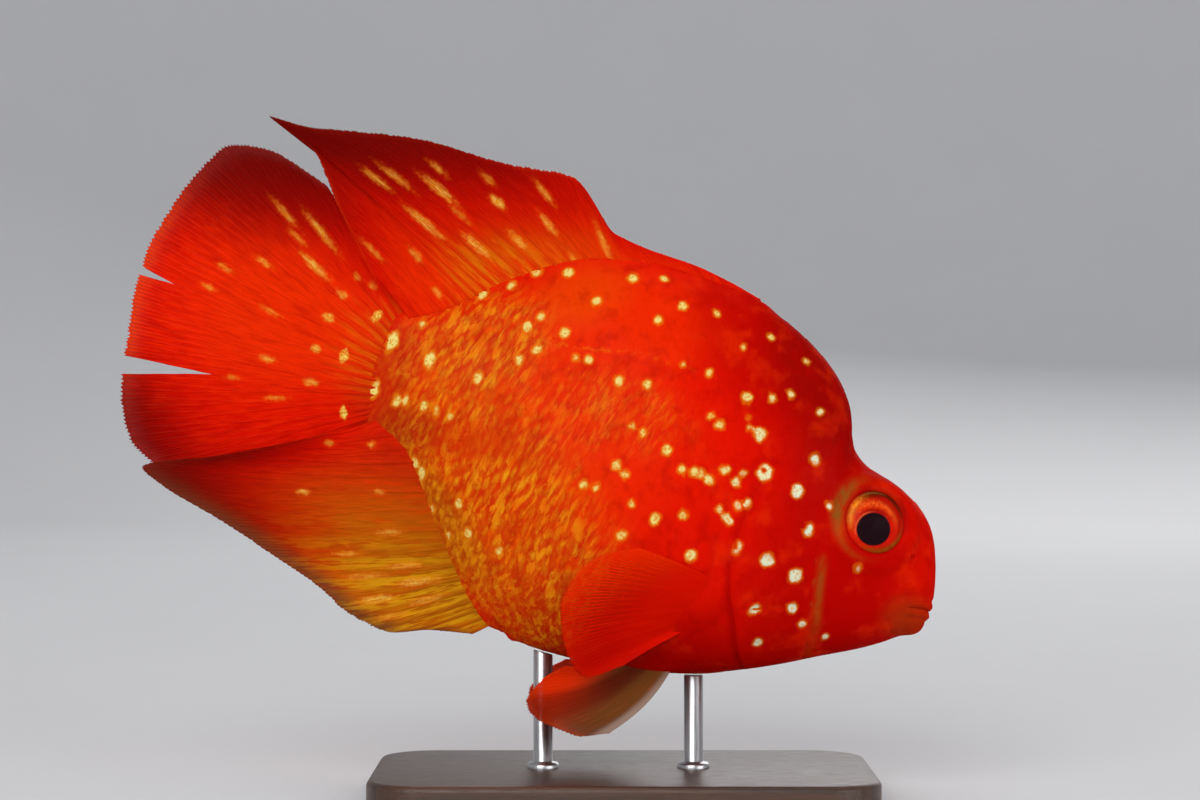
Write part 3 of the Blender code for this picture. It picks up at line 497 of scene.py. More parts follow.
def on_flank(px, py):
    """The point of the right flank that shows at a pixel."""
    y = 0.0
    for _ in range(5):
        scale = picture_scale(y)
        s, w = from_world(CAMERA_AT[0] + (px - PICTURE_SIZE[0] / 2) / scale,
                          CAMERA_AT[2] - (py - PICTURE_SIZE[1] / 2) / scale)
        y = -float(flank(min(max(s, 0.5), BODY_LENGTH - 0.5), w))
    return np.array([s, y, w])


def normals_of(grid, outwards, wrap=False):
    """Unit normals of a grid of points, turned the way of another grid of vectors."""
    down = np.gradient(grid, axis=0)
    across = np.roll(grid, -1, axis=1) - np.roll(grid, 1, axis=1) if wrap else np.gradient(grid, axis=1)
    normals = unit(np.cross(down, across))
    return normals * np.sign(np.sum(normals * outwards))


def palette(group="cichlid_colours"):
    """The colours of a group, as arrays."""
    colours = getattr(bpy.context.scene, group)
    return {name: np.array(getattr(colours, name)) for name in GROUPS[group].__annotations__}


COLOUR = {"subtype": "COLOR", "size": 3, "min": 0, "max": 1}


class FleshColours(bpy.types.PropertyGroup):
    """Colours of the fish."""

    # Blood red, which on the breast and belly is partly painted shade
    blood: FloatVectorProperty(
        name="Blood red", description="Head, nape and breast", default=(0.46, 0.0010, 0.0004), **COLOUR)
    scarlet: FloatVectorProperty(
        name="Scarlet", description="Shoulder and fins", default=(0.80, 0.0065, 0.0005), **COLOUR)
    vermilion: FloatVectorProperty(
        name="Vermilion", description="Middle of the flank", default=(0.92, 0.0300, 0.0008), **COLOUR)
    amber: FloatVectorProperty(
        name="Amber", description="Rear of the flank, fin roots", default=(0.80, 0.1000, 0.0015), **COLOUR)
    gold: FloatVectorProperty(
        name="Gold", description="Streaks on the scales", default=(0.88, 0.3600, 0.0070), **COLOUR)
    olive: FloatVectorProperty(
        name="Olive", description="Thin skin by the eye, anal fin", default=(0.28, 0.0850, 0.0080), **COLOUR)
    rust: FloatVectorProperty(
        name="Rust", description="Lips and chin", default=(0.40, 0.0260, 0.0030), **COLOUR)
    # Maroon, also laid as painted shade round the eye and, in part, on the dorsal fin's rear tip
    maroon: FloatVectorProperty(
        name="Maroon", description="Darkest fin tips", default=(0.13, 0.0020, 0.0012), **COLOUR)
    brass: FloatVectorProperty(
        name="Brass", description="Front of the anal fin", default=(0.40, 0.1350, 0.0030), **COLOUR)
    sepia: FloatVectorProperty(
        name="Sepia", description="Thin skin of the pelvic fins", default=(0.125, 0.0480, 0.0150), **COLOUR)
    ivory: FloatVectorProperty(
        name="Ivory", description="Pale fin edges", default=(0.50, 0.3800, 0.3000), **COLOUR)
    pearl: FloatVectorProperty(
        name="Pearl", description="Spots of shining skin", default=(0.95, 0.8600, 0.4600), **COLOUR)


class EyeColours(bpy.types.PropertyGroup):
    """Colours of the eyes."""

    iris: FloatVectorProperty(
        name="Iris", description="Iris", default=(0.72, 0.010, 0.002), **COLOUR)
    deep: FloatVectorProperty(
        name="Deep red", description="Outer iris", default=(0.45, 0.004, 0.002), **COLOUR)
    shadow: FloatVectorProperty(
        name="Shadow", description="Iris above the pupil", default=(0.28, 0.004, 0.002), **COLOUR)
    ember: FloatVectorProperty(
        name="Ember", description="Orange band over the pupil", default=(0.82, 0.06, 0.005), **COLOUR)
    crescent: FloatVectorProperty(
        name="Crescent", description="Golden crescent", default=(0.86, 0.19, 0.007), **COLOUR)
    # Painted shadow of the orbit's rim over the top and front of the eyeball, with an olive line in it
    lid: FloatVectorProperty(
        name="Rim shadow", description="Dark rim above", default=(0.095, 0.009, 0.001), **COLOUR)
    lid_edge: FloatVectorProperty(
        name="Rim shadow edge", description="Olive line in the dark rim", default=(0.22, 0.12, 0.02), **COLOUR)
    lower_rim: FloatVectorProperty(
        name="Lower rim", description="Brown rim below", default=(0.24, 0.055, 0.002), **COLOUR)
    pupil_ring: FloatVectorProperty(
        name="Pupil ring", description="Pale line at the pupil's edge", default=(0.85, 0.16, 0.05), **COLOUR)
    pupil: FloatVectorProperty(
        name="Pupil", description="Pupil", default=(0.012, 0.004, 0.006), **COLOUR)
    spark: FloatVectorProperty(
        name="Spark", description="Specks in the gold", default=(0.95, 0.42, 0.04), **COLOUR)
    threads: FloatVectorProperty(
        name="Threads", description="Dark threads in the iris", default=(0.20, 0.004, 0.002), **COLOUR)


class FishSizes(bpy.types.PropertyGroup):
    """Sizes of the skin, the scales and the fins."""

    rings: IntProperty(
        name="Skin rings", description="Rings of the skin's mesh", default=252, min=60, max=400)
    around: IntProperty(name="Skin round", description="Points in a ring", default=384, min=60, max=600)
    scale_lift: FloatProperty(
        name="Scale lift", description="How far a scale's free edge stands over its root, in mm",
        default=0.08, min=0.02, max=1.0)
    pearl_size: FloatProperty(
        name="Pearl size", description="Size of the pearly spots against those in the picture", default=1.0,
        subtype="FACTOR", min=0.3, max=2.0)
    comb_depth: FloatProperty(
        name="Fin comb", description="Depth of the notches between ray tips, in mm",
        default=0.3, min=0.0, max=2.0)


class StandLooks(bpy.types.PropertyGroup):
    """Finish of the display stand."""

    wood: FloatVectorProperty(
        name="Wood", description="Stained wood of the base", default=(0.060, 0.026, 0.012), **COLOUR)
    steel: FloatVectorProperty(name="Steel", description="Brushed rods", default=(0.55, 0.55, 0.56), **COLOUR)
    bevel: FloatProperty(
        name="Edge", description="Rounding of the base's edges, in mm", default=0.9, min=0.1, max=2.0)


class StageLooks(bpy.types.PropertyGroup):
    """Floor and light."""

    floor: FloatVectorProperty(
        name="Floor", description="Colour of the floor", default=(0.74, 0.74, 0.75), **COLOUR)
    light: FloatProperty(name="Light", description="Strength of all lamps", default=1.0, min=0.0, max=10.0)


class Value:
    """A number or colour of a shader, which adds Math nodes as it is reckoned with."""

    def __init__(self, surface, socket):
        self.surface, self.socket = surface, socket

    def math(self, operation, *values):
        return self.surface.node("ShaderNodeMath", {"operation": operation}, dict(enumerate(values)))

    def __add__(self, other):
        return self.math("ADD", self, other)

    __radd__ = __add__

    def __sub__(self, other):
        return self.math("SUBTRACT", self, other)

    def __rsub__(self, other):
        return self.math("SUBTRACT", other, self)

    def __mul__(self, other):
        return self.math("MULTIPLY", self, other)

    __rmul__ = __mul__

    def __abs__(self):
        return self.math("ABSOLUTE", self)


class Surface:
    """A material and the nodes that feed its shader."""

    def __init__(self, name, **constants):
        self.material = bpy.data.materials.new(name)
        self.material.use_nodes = True
        self.tree = self.material.node_tree
        self.shader = self.tree.nodes["Principled BSDF"]
        for key, value in constants.items():
            self.shader.inputs[key.replace("_", " ")].default_value = value

    def feed(self, socket, value):
        if isinstance(value, Value):
            self.tree.links.new(value.socket, socket)
        elif hasattr(value, "__len__") and socket.type == "RGBA":
            socket.default_value = (*value[:3], 1.0)
        else:
            socket.default_value = value

    def node(self, kind, settings=None, values=None, output=0):
        """Adds a node, sets it, and fills its sockets with values or links."""
        node = self.tree.nodes.new(kind)
        for key, value in (settings or {}).items():
            setattr(node, key, value)
        for key, value in (values or {}).items():
            self.feed(node.inputs[key], value)
        return Value(self, node.outputs[output])

    def set(self, **values):
        """Feeds the Principled shader."""
        for key, value in values.items():
            self.feed(self.shader.inputs[key.replace("_", " ")], value)

    def mix(self, factor, first, second, blend="MIX"):
        settings = {"data_type": "RGBA", "blend_type": blend, "clamp_factor": True}
        return self.node("ShaderNodeMix", settings, {0: factor, 6: first, 7: second}, 2)

    def ease(self, value, low, high):
        settings = {"interpolation_type": "SMOOTHSTEP"}
        return self.node("ShaderNodeMapRange", settings, {"Value": value, "From Min": low, "From Max": high})

    def attribute(self, name, colour=False):
        return self.node("ShaderNodeAttribute", {"attribute_name": name}, output=0 if colour else 2)

    def place(self, stretch=(1.0, 1.0, 1.0)):
        """Places on the object, in mm, stretched."""
        at = self.node("ShaderNodeTexCoord", output=3)
        scale = tuple(1000.0 * value for value in stretch)
        return self.node("ShaderNodeVectorMath", {"operation": "MULTIPLY"}, {0: at, 1: scale})

    def lie(self):
        """The two numbers of the Lie map."""
        at = self.node("ShaderNodeUVMap", {"uv_map": "Lie"})
        parts = self.node("ShaderNodeSeparateXYZ", values={0: at})
        return parts, Value(self, parts.socket.node.outputs[1])

    def noise(self, at, size, detail=3.0, roughness=0.5, distortion=0.0):
        """Soft noise with lumps of about this size in mm."""
        values = {"Vector": at, "Scale": 1 / size, "Detail": detail, "Roughness": roughness,
                  "Distortion": distortion}
        return self.node("ShaderNodeTexNoise", values=values)

    def along_scales(self, at, stretch):
        """Places turned into the fish's frame and drawn out along w."""
        values = {"Vector": at, "Rotation": (0.0, DIP + 0.2, 0.0), "Scale": (1.0, 1.0, stretch)}
        return self.node("ShaderNodeMapping", {"vector_type": "TEXTURE"}, values)

    def emboss(self, height, depth, strength=1.0):
        """Bump of a depth in mm."""
        values = {"Height": height, "Distance": depth * MM, "Strength": strength}
        self.set(Normal=self.node("ShaderNodeBump", values=values))


# Shader settings of all wet tissue
WET = {"Coat_IOR": 1.33, "Specular_IOR_Level": 0.0, "Subsurface_Scale": 0.0008,
       "Subsurface_Radius": (1.0, 0.25, 0.1)}


def flesh_surface(name):
    """Smooth moist skin with mottled colour, golden streaks and pearly spots, for the skin and the scales."""
    colours = palette()
    skin = Surface(name, Coat_Roughness=0.22, Subsurface_Weight=0.08, **WET)
    at = skin.place()
    upright = skin.along_scales(at, 4.2)
    broad = skin.noise(at, 5.0, 3.0, 0.55)
    fine = skin.noise(at, 0.9, 4.0, 0.6)
    grain = skin.noise(at, 0.22, 2.0, 0.5)
    colour = skin.attribute("Flesh", colour=True)
    colour = skin.mix(skin.ease(broad, 0.5, 0.72) * 0.36, colour, colours["vermilion"])
    mottle = skin.noise(at, 2.6, 3.0, 0.55)
    colour = skin.mix(skin.ease(1 - mottle, 0.44, 0.72) * 0.42, colour, colours["blood"])
    olive = skin.attribute("Olive") * skin.ease(skin.noise(upright, 0.8, 4.0, 0.65), 0.2, 0.55)
    colour = skin.mix(olive, colour, colours["olive"])
    gold = skin.attribute("Gold")
    veins = abs(skin.noise(upright, 1.9, 4.0, 0.6, 0.8) - 0.5)
    veins = (1 - skin.ease(veins, 0.0, 0.03)) * skin.ease(broad, 0.42, 0.6)
    colour = skin.mix(gold * veins * 0.4, colour, colours["gold"])
    soft = skin.ease(skin.noise(upright, 1.0, 2.0, 0.5, 0.3), 0.46, 0.66)
    dashes = skin.ease(skin.noise(upright, 1.05, 2.0, 0.5, 0.3), 0.5, 0.61)
    streak = skin.attribute("Streak") * skin.ease(skin.noise(upright, 0.9, 3.0, 0.6), 0.3, 0.56)
    colour = skin.mix(gold * (1 - dashes) * 0.34, colour, colours["rust"])
    dashes = dashes * skin.ease(broad, 0.32, 0.6)
    colour = skin.mix(gold * (soft * 0.14 + dashes * 0.45), colour, colours["gold"])
    colour = skin.mix(gold * streak * 0.5, colour, colours["gold"])
    glints = skin.ease(skin.noise(upright, 1.1, 3.0, 0.6, 0.3), 0.58, 0.72) * gold
    colour = skin.mix(glints * 0.45, colour, colours["gold"] * (1.05, 1.25, 1.8))
    line = skin.attribute("Line")
    colour = skin.mix(line * skin.ease(fine, 0.48, 0.6) * 0.2, colour, colours["gold"])
    spot = skin.attribute("Pearl") + (skin.noise(at, 1.3, 1.5, 0.5) - 0.5) * 1.1
    halo = 1 - skin.ease(spot, -0.1, 0.55)
    core = 1 - skin.ease(spot, -0.3, 0.12)
    bright = skin.attribute("Shine")
    front = skin.attribute("Pale")
    pale = skin.mix(front, colours["pearl"] * (0.95, 0.83, 0.42), colours["pearl"] * (0.80, 0.92, 1.2))
    flecks = skin.ease(skin.noise(at, 0.5, 3.0, 0.65), 0.5, 0.6)
    tint = skin.mix(flecks * (0.8 - front * 0.25), pale, colours["gold"] * (0.85, 0.75, 0.8))
    colour = skin.mix(halo * bright * (0.75 - front * 0.2), colour, (colours["amber"] + colours["gold"]) / 2)
    colour = skin.mix(core * bright, colour, tint)
    skin.set(Base_Color=colour)
    skin.set(Roughness=skin.noise(at, 1.5, 3.0) * 0.2 + 0.36 - core * 0.12)
    skin.set(Coat_Weight=skin.ease(broad, 0.3, 0.7) * 0.03 + core * bright * 0.12 + 0.02)
    skin.emboss(grain * 0.5 + fine + core * bright * 1.2, 0.05, 0.6)
    return skin.material


def fin_surface(name):
    """Thin membrane between fine rays that branch, with a combed edge of orange light and pearly streaks, and
    painted highlights on the anal fin.
    """
    colours = palette()
    fin = Surface(name, Coat_Roughness=0.25, Subsurface_Weight=0.12, **WET)
    at = fin.place()
    across, along = fin.lie()
    soft = fin.attribute("Soft")
    off = abs(fin.node("ShaderNodeMath", {"operation": "FRACT"}, {0: across + 0.5}) - 0.5)
    between = fin.ease(off, 0.1, 0.34)
    for share, low, high in BRANCHES:
        off = abs(off - soft * share * fin.ease(along, low, high))
    ray = 1 - fin.ease(off, 0.006, 0.042)
    reach = fin.attribute("Reach")
    broad = {0: across * 2.6, 1: reach * 0.16, 2: fin.attribute("Gust")}
    bands = fin.noise(fin.node("ShaderNodeCombineXYZ", values=broad), 1.0, 3.0, 0.6)
    narrow = {0: across * 9.0, 1: reach * 0.3}
    threads = fin.noise(fin.node("ShaderNodeCombineXYZ", values=narrow), 1.0, 2.0)
    joints = fin.node("ShaderNodeMath", {"operation": "SINE"}, {0: reach * 9.0})
    colour = fin.attribute("Flesh", colour=True)
    glow, bold = fin.attribute("Glow"), fin.attribute("Bold")
    colour_of_gaps = fin.mix(0.5, colour, colours["maroon"])
    colour = fin.mix(fin.ease(bands, 0.5, 0.7) * glow, colour, colours["blood"])
    colour = fin.mix(fin.ease(1 - bands, 0.52, 0.72) * glow, colour, colours["vermilion"])
    dark = fin.mix(bold * 0.45, colour, colour_of_gaps)
    lit = fin.mix(glow * 0.6, colour, colours["vermilion"] * 1.1)
    colour = fin.mix(fin.ease(threads, 0.35, 0.65) * 0.5 + ray * 0.5, dark, lit)
    edge = fin.ease(along + (fin.noise(at, 2.5) - 0.5) * 0.05, 0.93, 0.995) * fin.attribute("Fringe")
    colour = fin.mix(edge * (ray * 0.25 + 0.4), colour, (colours["amber"] + colours["vermilion"]) / 2)
    gilt = fin.attribute("Gold") * (between * 0.75 + 0.25) * fin.ease(bands * 0.6 + threads * 0.4, 0.4, 0.56)
    colour = fin.mix(gilt * 0.8, colour, colours["gold"] * (0.8, 0.96, 1.0))
    # Pearly streaks along the rays, and on the anal fin painted highlights
    spot = fin.attribute("Pearl") + (fin.noise(at, 0.7, 3.0, 0.6) - 0.5) * 1.1
    bright = fin.attribute("Shine")
    core = (1 - fin.ease(spot, -0.4, 0.22)) * bright * (fin.ease(threads, 0.35, 0.6) * 0.6 + 0.4)
    flecks = fin.ease(fin.noise(at, 0.35, 2.0), 0.42, 0.6)
    tint = fin.mix(flecks * bright, colours["gold"] * (0.9, 0.98, 2.6), colours["pearl"] * (0.92, 0.88, 0.34))
    colour = fin.mix((1 - fin.ease(spot, -0.2, 0.5)) * 0.3, colour, colours["amber"])
    colour = fin.mix(core * 0.92, colour, tint)
    fin.set(Base_Color=colour, Coat_Weight=ray * 0.03 + 0.01)
    fin.set(Roughness=fin.noise(at, 1.2) * 0.2 + 0.4)
    fin.set(Alpha=1 - fin.attribute("Clear") * (1 - ray * 0.7))
    fin.emboss((ray + joints * ray * 0.12) * bold, 0.09, 0.8)
    return fin.material


def eye_surface():
    """Iris and pupil, painted on the eyeball."""
    colours = palette("cichlid_eyes")
    eye = Surface("eyeball", Specular_IOR_Level=0.0)
    at = eye.place()
    colour = eye.attribute("Flesh", colour=True)
    spark = eye.ease(eye.noise(at, 0.3, 3.0, 0.7), 0.46, 0.62)
    colour = eye.mix(spark * eye.attribute("Gold") * 0.65, colour, colours["spark"])
    threads = eye.ease(eye.noise(at, 0.5, 3.0, 0.6), 0.4, 0.66)
    colour = eye.mix(threads * eye.attribute("Line") * 0.35, colour, colours["threads"])
    eye.set(Base_Color=colour, Roughness=eye.noise(at, 0.8) * 0.1 + 0.3)
    eye.emboss(eye.noise(at, 0.25, 2.0) * eye.attribute("Line"), 0.05)
    return eye.material


def cornea_surface():
    """Clear wet cornea: see-through, with a faint even gloss."""
    clear = Surface("cornea")
    tree = clear.tree
    tree.nodes.remove(clear.shader)
    through = clear.node("ShaderNodeBsdfTransparent")
    gloss = clear.node("ShaderNodeBsdfGlossy", values={"Roughness": 0.03})
    both = clear.node("ShaderNodeMixShader", values={0: 0.003, 1: through, 2: gloss})
    tree.links.new(both.socket, tree.nodes["Material Output"].inputs["Surface"])
    return clear.material


def wood_surface(colour):
    """Dark stained wood with fine grain along the base, waxed to a soft gloss."""
    wood = Surface("stained_wood", Coat_Roughness=0.28)
    grain = wood.noise(wood.place((0.045, 1.0, 0.6)), 2.2, 6.0, 0.62, 0.8)
    pores = wood.noise(wood.place((0.1, 1.6, 1.6)), 0.35, 3.0, 0.6)
    rings = wood.noise(wood.place((0.02, 0.35, 0.3)), 3.0, 2.0)
    shade = wood.mix(wood.ease(grain, 0.36, 0.66), colour * 0.55, colour * 1.7)
    shade = wood.mix(wood.ease(rings, 0.4, 0.65) * 0.5, shade, colour * 0.8)
    shade = wood.mix(wood.ease(pores, 0.56, 0.7) * 0.5, shade, colour * 0.25)
    wood.set(Base_Color=shade, Roughness=grain * 0.25 + 0.32, Coat_Weight=wood.ease(pores, 0.7, 0.3) * 0.3)
    wood.emboss(grain - wood.ease(pores, 0.56, 0.7) * 0.7, 0.05, 0.5)
    return wood.material


def steel_surface(colour):
    """Steel rod, brushed along its length."""
    steel = Surface("brushed_steel", Metallic=1.0)
    brush = steel.noise(steel.place((1.0, 1.0, 0.03)), 0.16, 3.0, 0.6)
    steel.set(Base_Color=steel.mix(steel.ease(brush, 0.3, 0.7), colour * 0.8, colour * 1.1))
    steel.set(Roughness=brush * 0.2 + 0.2)
    steel.emboss(brush, 0.02, 0.3)
    return steel.material


def new_piece(name, points, faces, material, nodes=()):
    """A smooth mesh piece from points of the fish's frame, riding on the fish."""
    mesh = bpy.data.meshes.new(name)
    mesh.from_pydata(to_world(points), [], faces)
    mesh.shade_smooth()
    mesh.materials.append(material)
    piece = bpy.data.objects.new(name, mesh)
    bpy.context.scene.collection.objects.link(piece)
    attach(piece, "root")
    if nodes:
        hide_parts(*nodes)
    return piece


def put(piece, **fields):
    """Stores numbers or colours at a mesh's points."""
    mesh = piece.data
    for name, values in fields.items():
        values = np.asarray(values, np.float32)
        if values.ndim == 2:
            layer = mesh.color_attributes.new(name, "FLOAT_COLOR", "POINT")
            opaque = np.ones((len(values), 1), np.float32)
            layer.data.foreach_set("color", np.hstack([values, opaque]).ravel())
        else:
            layer = mesh.attributes.new(name, "FLOAT", "POINT")
            layer.data.foreach_set("value", values)


def put_map(piece, name, pairs):
    """Stores a UV map from one pair of numbers for each point."""
    mesh = piece.data
    corners = np.empty(len(mesh.loops), np.int32)
    mesh.loops.foreach_get("vertex_index", corners)
    layer = mesh.uv_layers.new(name=name)
    layer.uv.foreach_set("vector", np.asarray(pairs, np.float32)[corners].ravel())


def pearls_of(side):
    """The pearly spots of one side, and the holes in them. The left side's spots are scattered a little."""
    chance = np.random.default_rng(PEARL_SEED)
    size = bpy.context.scene.cichlid_sizes.pearl_size
    spots = []
    for px, py, width in BODY_PEARLS:
        middle = on_flank(px, py)
        shift = chance.normal(0.0, 1.0, 2)
        if side > 0:
            middle[[0, 2]] += shift * 1.3
            middle[1] = flank(middle[0], middle[2])
        spots.append((middle, size * width / PICTURE_SCALE / 2, min(1.0, 0.55 + width / 25)))
    holes = [(on_flank(px, py) * (1, -side, 1), width / PICTURE_SCALE / 2) for px, py, width in PEARL_HOLES]
    return spots, holes if side < 0 else []


def pearl_fields(points, spots, holes):
    """How far points lie outside the nearest spot, in mm, and how bright that spot is."""
    nearest = np.full(len(points), NO_PEARL)
    shine = np.zeros(len(points))
    for middle, radius, bright in spots:
        near = np.nonzero(np.all(np.abs(points - middle) < radius + 2.5, axis=1))[0]
        upright = 1 + 0.55 * ease(middle[0], 68.0, 88.0)
        away = np.linalg.norm((points[near] - middle) * (1.1, 1.0, 1 / upright), axis=1) - radius
        closer = away < nearest[near]
        nearest[near[closer]] = away[closer]
        shine[near[closer]] = bright
    for middle, radius in holes:
        nearest = np.maximum(nearest, 1.6 * (radius - np.linalg.norm(points - middle, axis=1)))
    return nearest, shine


def flesh_fields(points):
    """Every field of the markings of the body, and of the shade painted on it, for the skin and the scales
    alike.
    """
    colours = palette()
    s, y, w = points.T
    flesh = np.tile(colours["scarlet"], (len(points), 1))
    for name, *patch, strength in FLESH_ZONES:
        lay(flesh, strength * zone(s, w, *patch), colours[name])
    gold = strongest(s, w, GOLD_ZONES) * ((1 - strongest(s, w, DULL_ZONES)) * ease(back(s) - w, -2.0, 2.5))

    # Thin skin along the cheek and round the eye, painted shade in a dark line behind the gill cover's free
    # edge, and painted shade in an arc over and before the eye
    off_cheek = s - cheek_edge(w)
    olive = 0.62 * bump(off_cheek, -0.1, 0.6) * ease(w, -11.5, -6.0) * (1 - ease(w, -1.0, 2.0))
    olive += 0.2 * bump(off_cheek, 0.3, 0.8) * ease(w, -17.0, -13.0) * (1 - ease(w, -9.0, -6.0))
    # Painted shade in the gap behind the gill cover's free edge
    shade_behind_gill = bump(s - gill_edge(w), 0.5, 0.9) * ease(w, -26, -18) * (1 - ease(w, 9, 14))
    lay(flesh, 0.5 * shade_behind_gill, colours["blood"])
    ds, dw = s - EYE_AT[0], w - EYE_AT[1]
    around, direction = np.hypot(ds, dw), np.arctan2(dw, ds)
    olive += 1.5 * bump(around, 6.0 + 0.75 * np.clip(direction, -1, 1), 0.85) * bump(direction, 0.2, 0.6)
    olive += 0.3 * bump(around, 5.7, 0.5) * bump(direction, -1.1, 0.6)
    lay(flesh, 0.35 * bump(around, 5.6, 0.7) * bump(direction, -0.4, 0.5), colours["amber"])
    # Painted shade of the orbit's rim: a dark arc over and before the eye
    lay(flesh, 0.75 * bump(around, 5.2, 0.5) * bump(direction, 1.9, 1.0), colours["maroon"])

    line = np.zeros(len(points))
    for (s0, w0), (s1, w1) in LATERAL_LINE:
        share = np.clip((s - s0) / (s1 - s0), 0, 1)
        inside = (s > s0) & (s < s1)
        line = np.maximum(line, bump(w, w0 + share * (w1 - w0), 0.28) * inside * ease(s, 42.0, 64.0))
    pearl, shine = np.full(len(points), NO_PEARL), np.zeros(len(points))
    for _, side in SIDES:
        here = side * y >= 0
        pearl[here], shine[here] = pearl_fields(points[here], *pearls_of(side))
    pale = (1 - ease(s, 26.0, 44.0)) * (1 - 0.7 * ease(w, 14.0, 26.0))
    return {"Flesh": flesh, "Gold": gold, "Line": line, "Olive": np.clip(olive, 0, 0.95), "Pale": pale,
            "Pearl": pearl, "Shine": shine}


def scaly(s, w):
    """How far the skin is covered: 1 on the trunk, less on the gill cover, and 0 on the naked head."""
    edge = np.minimum(back(s) - w, (w - belly(s)) + 20 * (1 - ease(s, 58.0, 63.0)))
    trunk = ease(s - scale_front(w), -0.4, 2.0) * (1 - 0.8 * ease(s, 90.5, 94.5))
    trunk *= 1 - 0.75 * (1 - ease(edge, 0.3, 2.8)) * ease(s, 40.0, 46.0)
    front, rear = cheek_edge(w), gill_edge(w)
    cover = 0.16 * ease(s - front, 0.8, 2.6) * (1 - ease(s - rear, -2.6, -1.2))
    return np.maximum(trunk, cover * ease(w, -16.5, -13.0) * (1 - ease(w, 6.0, 9.0)))


def skin_relief(points):
    """How far the skin stands out of the plain body, along its normal, in mm."""
    s, y, w = np.moveaxis(points, -1, 0)
    aside = np.abs(y)
    flanks = ease(aside, 0.6, 3.0)
    from_eye = np.hypot(s - EYE_AT[0], w - EYE_AT[1])
    rise = ORBIT_RISE * (1 - ease(from_eye, EYE_RADIUS, EYE_RADIUS + ORBIT_REACH))

    # Gill cover: it rises to its free edge, drops behind it, and the shoulder comes back up
    front, rear = cheek_edge(w), gill_edge(w)
    behind = s - rear
    low, high = GILL_SPAN
    window = ease(w, low - 5.0, low + 2.0) * (1 - ease(w, high - 3.0, high + 1.2))
    window *= 1 - 0.5 * ease(w, -9.0, 0.0)
    edge = GILL_RISE * np.clip((s - front) / (rear - front), 0, 1) ** 1.5 * (behind <= 0)
    drop = (GILL_RISE + SHOULDER_RISE) * ease(behind, 0.0, 0.35)
    rise += window * (edge + (behind > 0) * (GILL_RISE - drop + SHOULDER_RISE * ease(behind, 0.4, 3.2)))
    rise -= 0.06 * window * bump(behind, -1.5, 0.35)
    along_cheek = s - front
    cheek = ease(w, -17.0, -13.0) * (1 - ease(w, 4.0, 8.0))
    rise += cheek * (0.2 * bump(along_cheek, -0.4, 0.9) - 0.22 * bump(along_cheek, 0.9, 0.35))
    seam = w + 9.0 + 0.42 * (s - 24.0)
    rise -= 0.10 * window * bump(seam, 0.0, 0.3) * ease(along_cheek, 0.5, 2.0) * (behind < -0.6)

    # Mouth: a slit between two rolled lips, which ends in a fold at the corner
    off_mouth = w - mouth(s)
    along_mouth = 1 - ease(s, MOUTH_CORNER - 2.6, MOUTH_CORNER)
    roll = 0.26 * bump(np.abs(off_mouth), 0.8, 0.45) - 0.1 * bump(np.abs(off_mouth), 1.7, 0.3)
    rise += along_mouth * (roll - 0.45 * bump(off_mouth, 0.0, 0.11))
    lips = np.hypot((s - 3.0) / 3.7, (w + 3.5) / 3.3)
    rise += ease(s, 2.6, 4.0) * flanks * (0.1 * (1 - ease(lips, 0.8, 1.04)) - 0.12 * bump(lips, 1.08, 0.09))
    from_nostril = np.hypot(s - NOSTRIL_AT[0], w - NOSTRIL_AT[1])
    rise += 0.2 * bump(from_nostril, 0.66, 0.2) - 0.75 * bump(from_nostril, 0.0, 0.36)

    # Fleshy roots of the fins, and the vent
    rise += 0.5 * zone(s, w, (33.2, -11.4), (1.9, 4.4), 10.0)
    under = w < widest_level(s) - 10
    rise += 0.5 * bump(s, 38.5, 4.5) * bump(aside, 3.4, 1.6) * under
    rise += under * (0.5 * bump(s, 60.0, 0.9) - 0.7 * bump(s, 60.9, 0.35)) * bump(aside, 0.0, 0.7)
    root = bump(aside, 0.0, 1.1) * 0.45
    rise += root * (w > widest_level(s) + 5) * ease(s, 37.0, 41.0) * (1 - ease(s, 88.0, 92.0))
    rise += root * under * ease(s, 61.5, 64.0) * (1 - ease(s, 86.0, 90.0))

    # Faint folds of the naked head, and no relief along its ridge but the mouth's
    folds = np.sin(1.9 * s + 0.8 * w) * np.sin(0.7 * s - 1.3 * w + 1.0)
    rise += 0.035 * folds * (1 - ease(s, 24.0, 32.0)) * flanks
    shown = np.where(s < MOUTH_CORNER + 3, 1.0, np.maximum(flanks, (s > 30) * 1.0))
    return rise * shown - COAT_DEPTH * scaly(s, w)


def seat_eyes(points):
    """Draws the skin into the plane of each eye: a fold round the eyeball, and a socket under it."""
    for _, side in SIDES:
        middle, *_, outwards = eye_frame(side)
        away = points - middle
        height = away @ outwards
        radius = np.linalg.norm(away - height[..., None] * outwards, axis=-1)
        fold = 0.2 * bump(radius, 5.4, 0.5) - 0.12 * bump(radius, 6.9, 0.5)
        wanted = EYE_SUNK + fold - 3.6 * (1 - ease(radius, 3.9, 4.92))
        share = (1 - ease(radius, 5.7, 8.4)) * (side * points[..., 1] > 0)
        points += ((wanted - height) * share)[..., None] * outwards
    return points


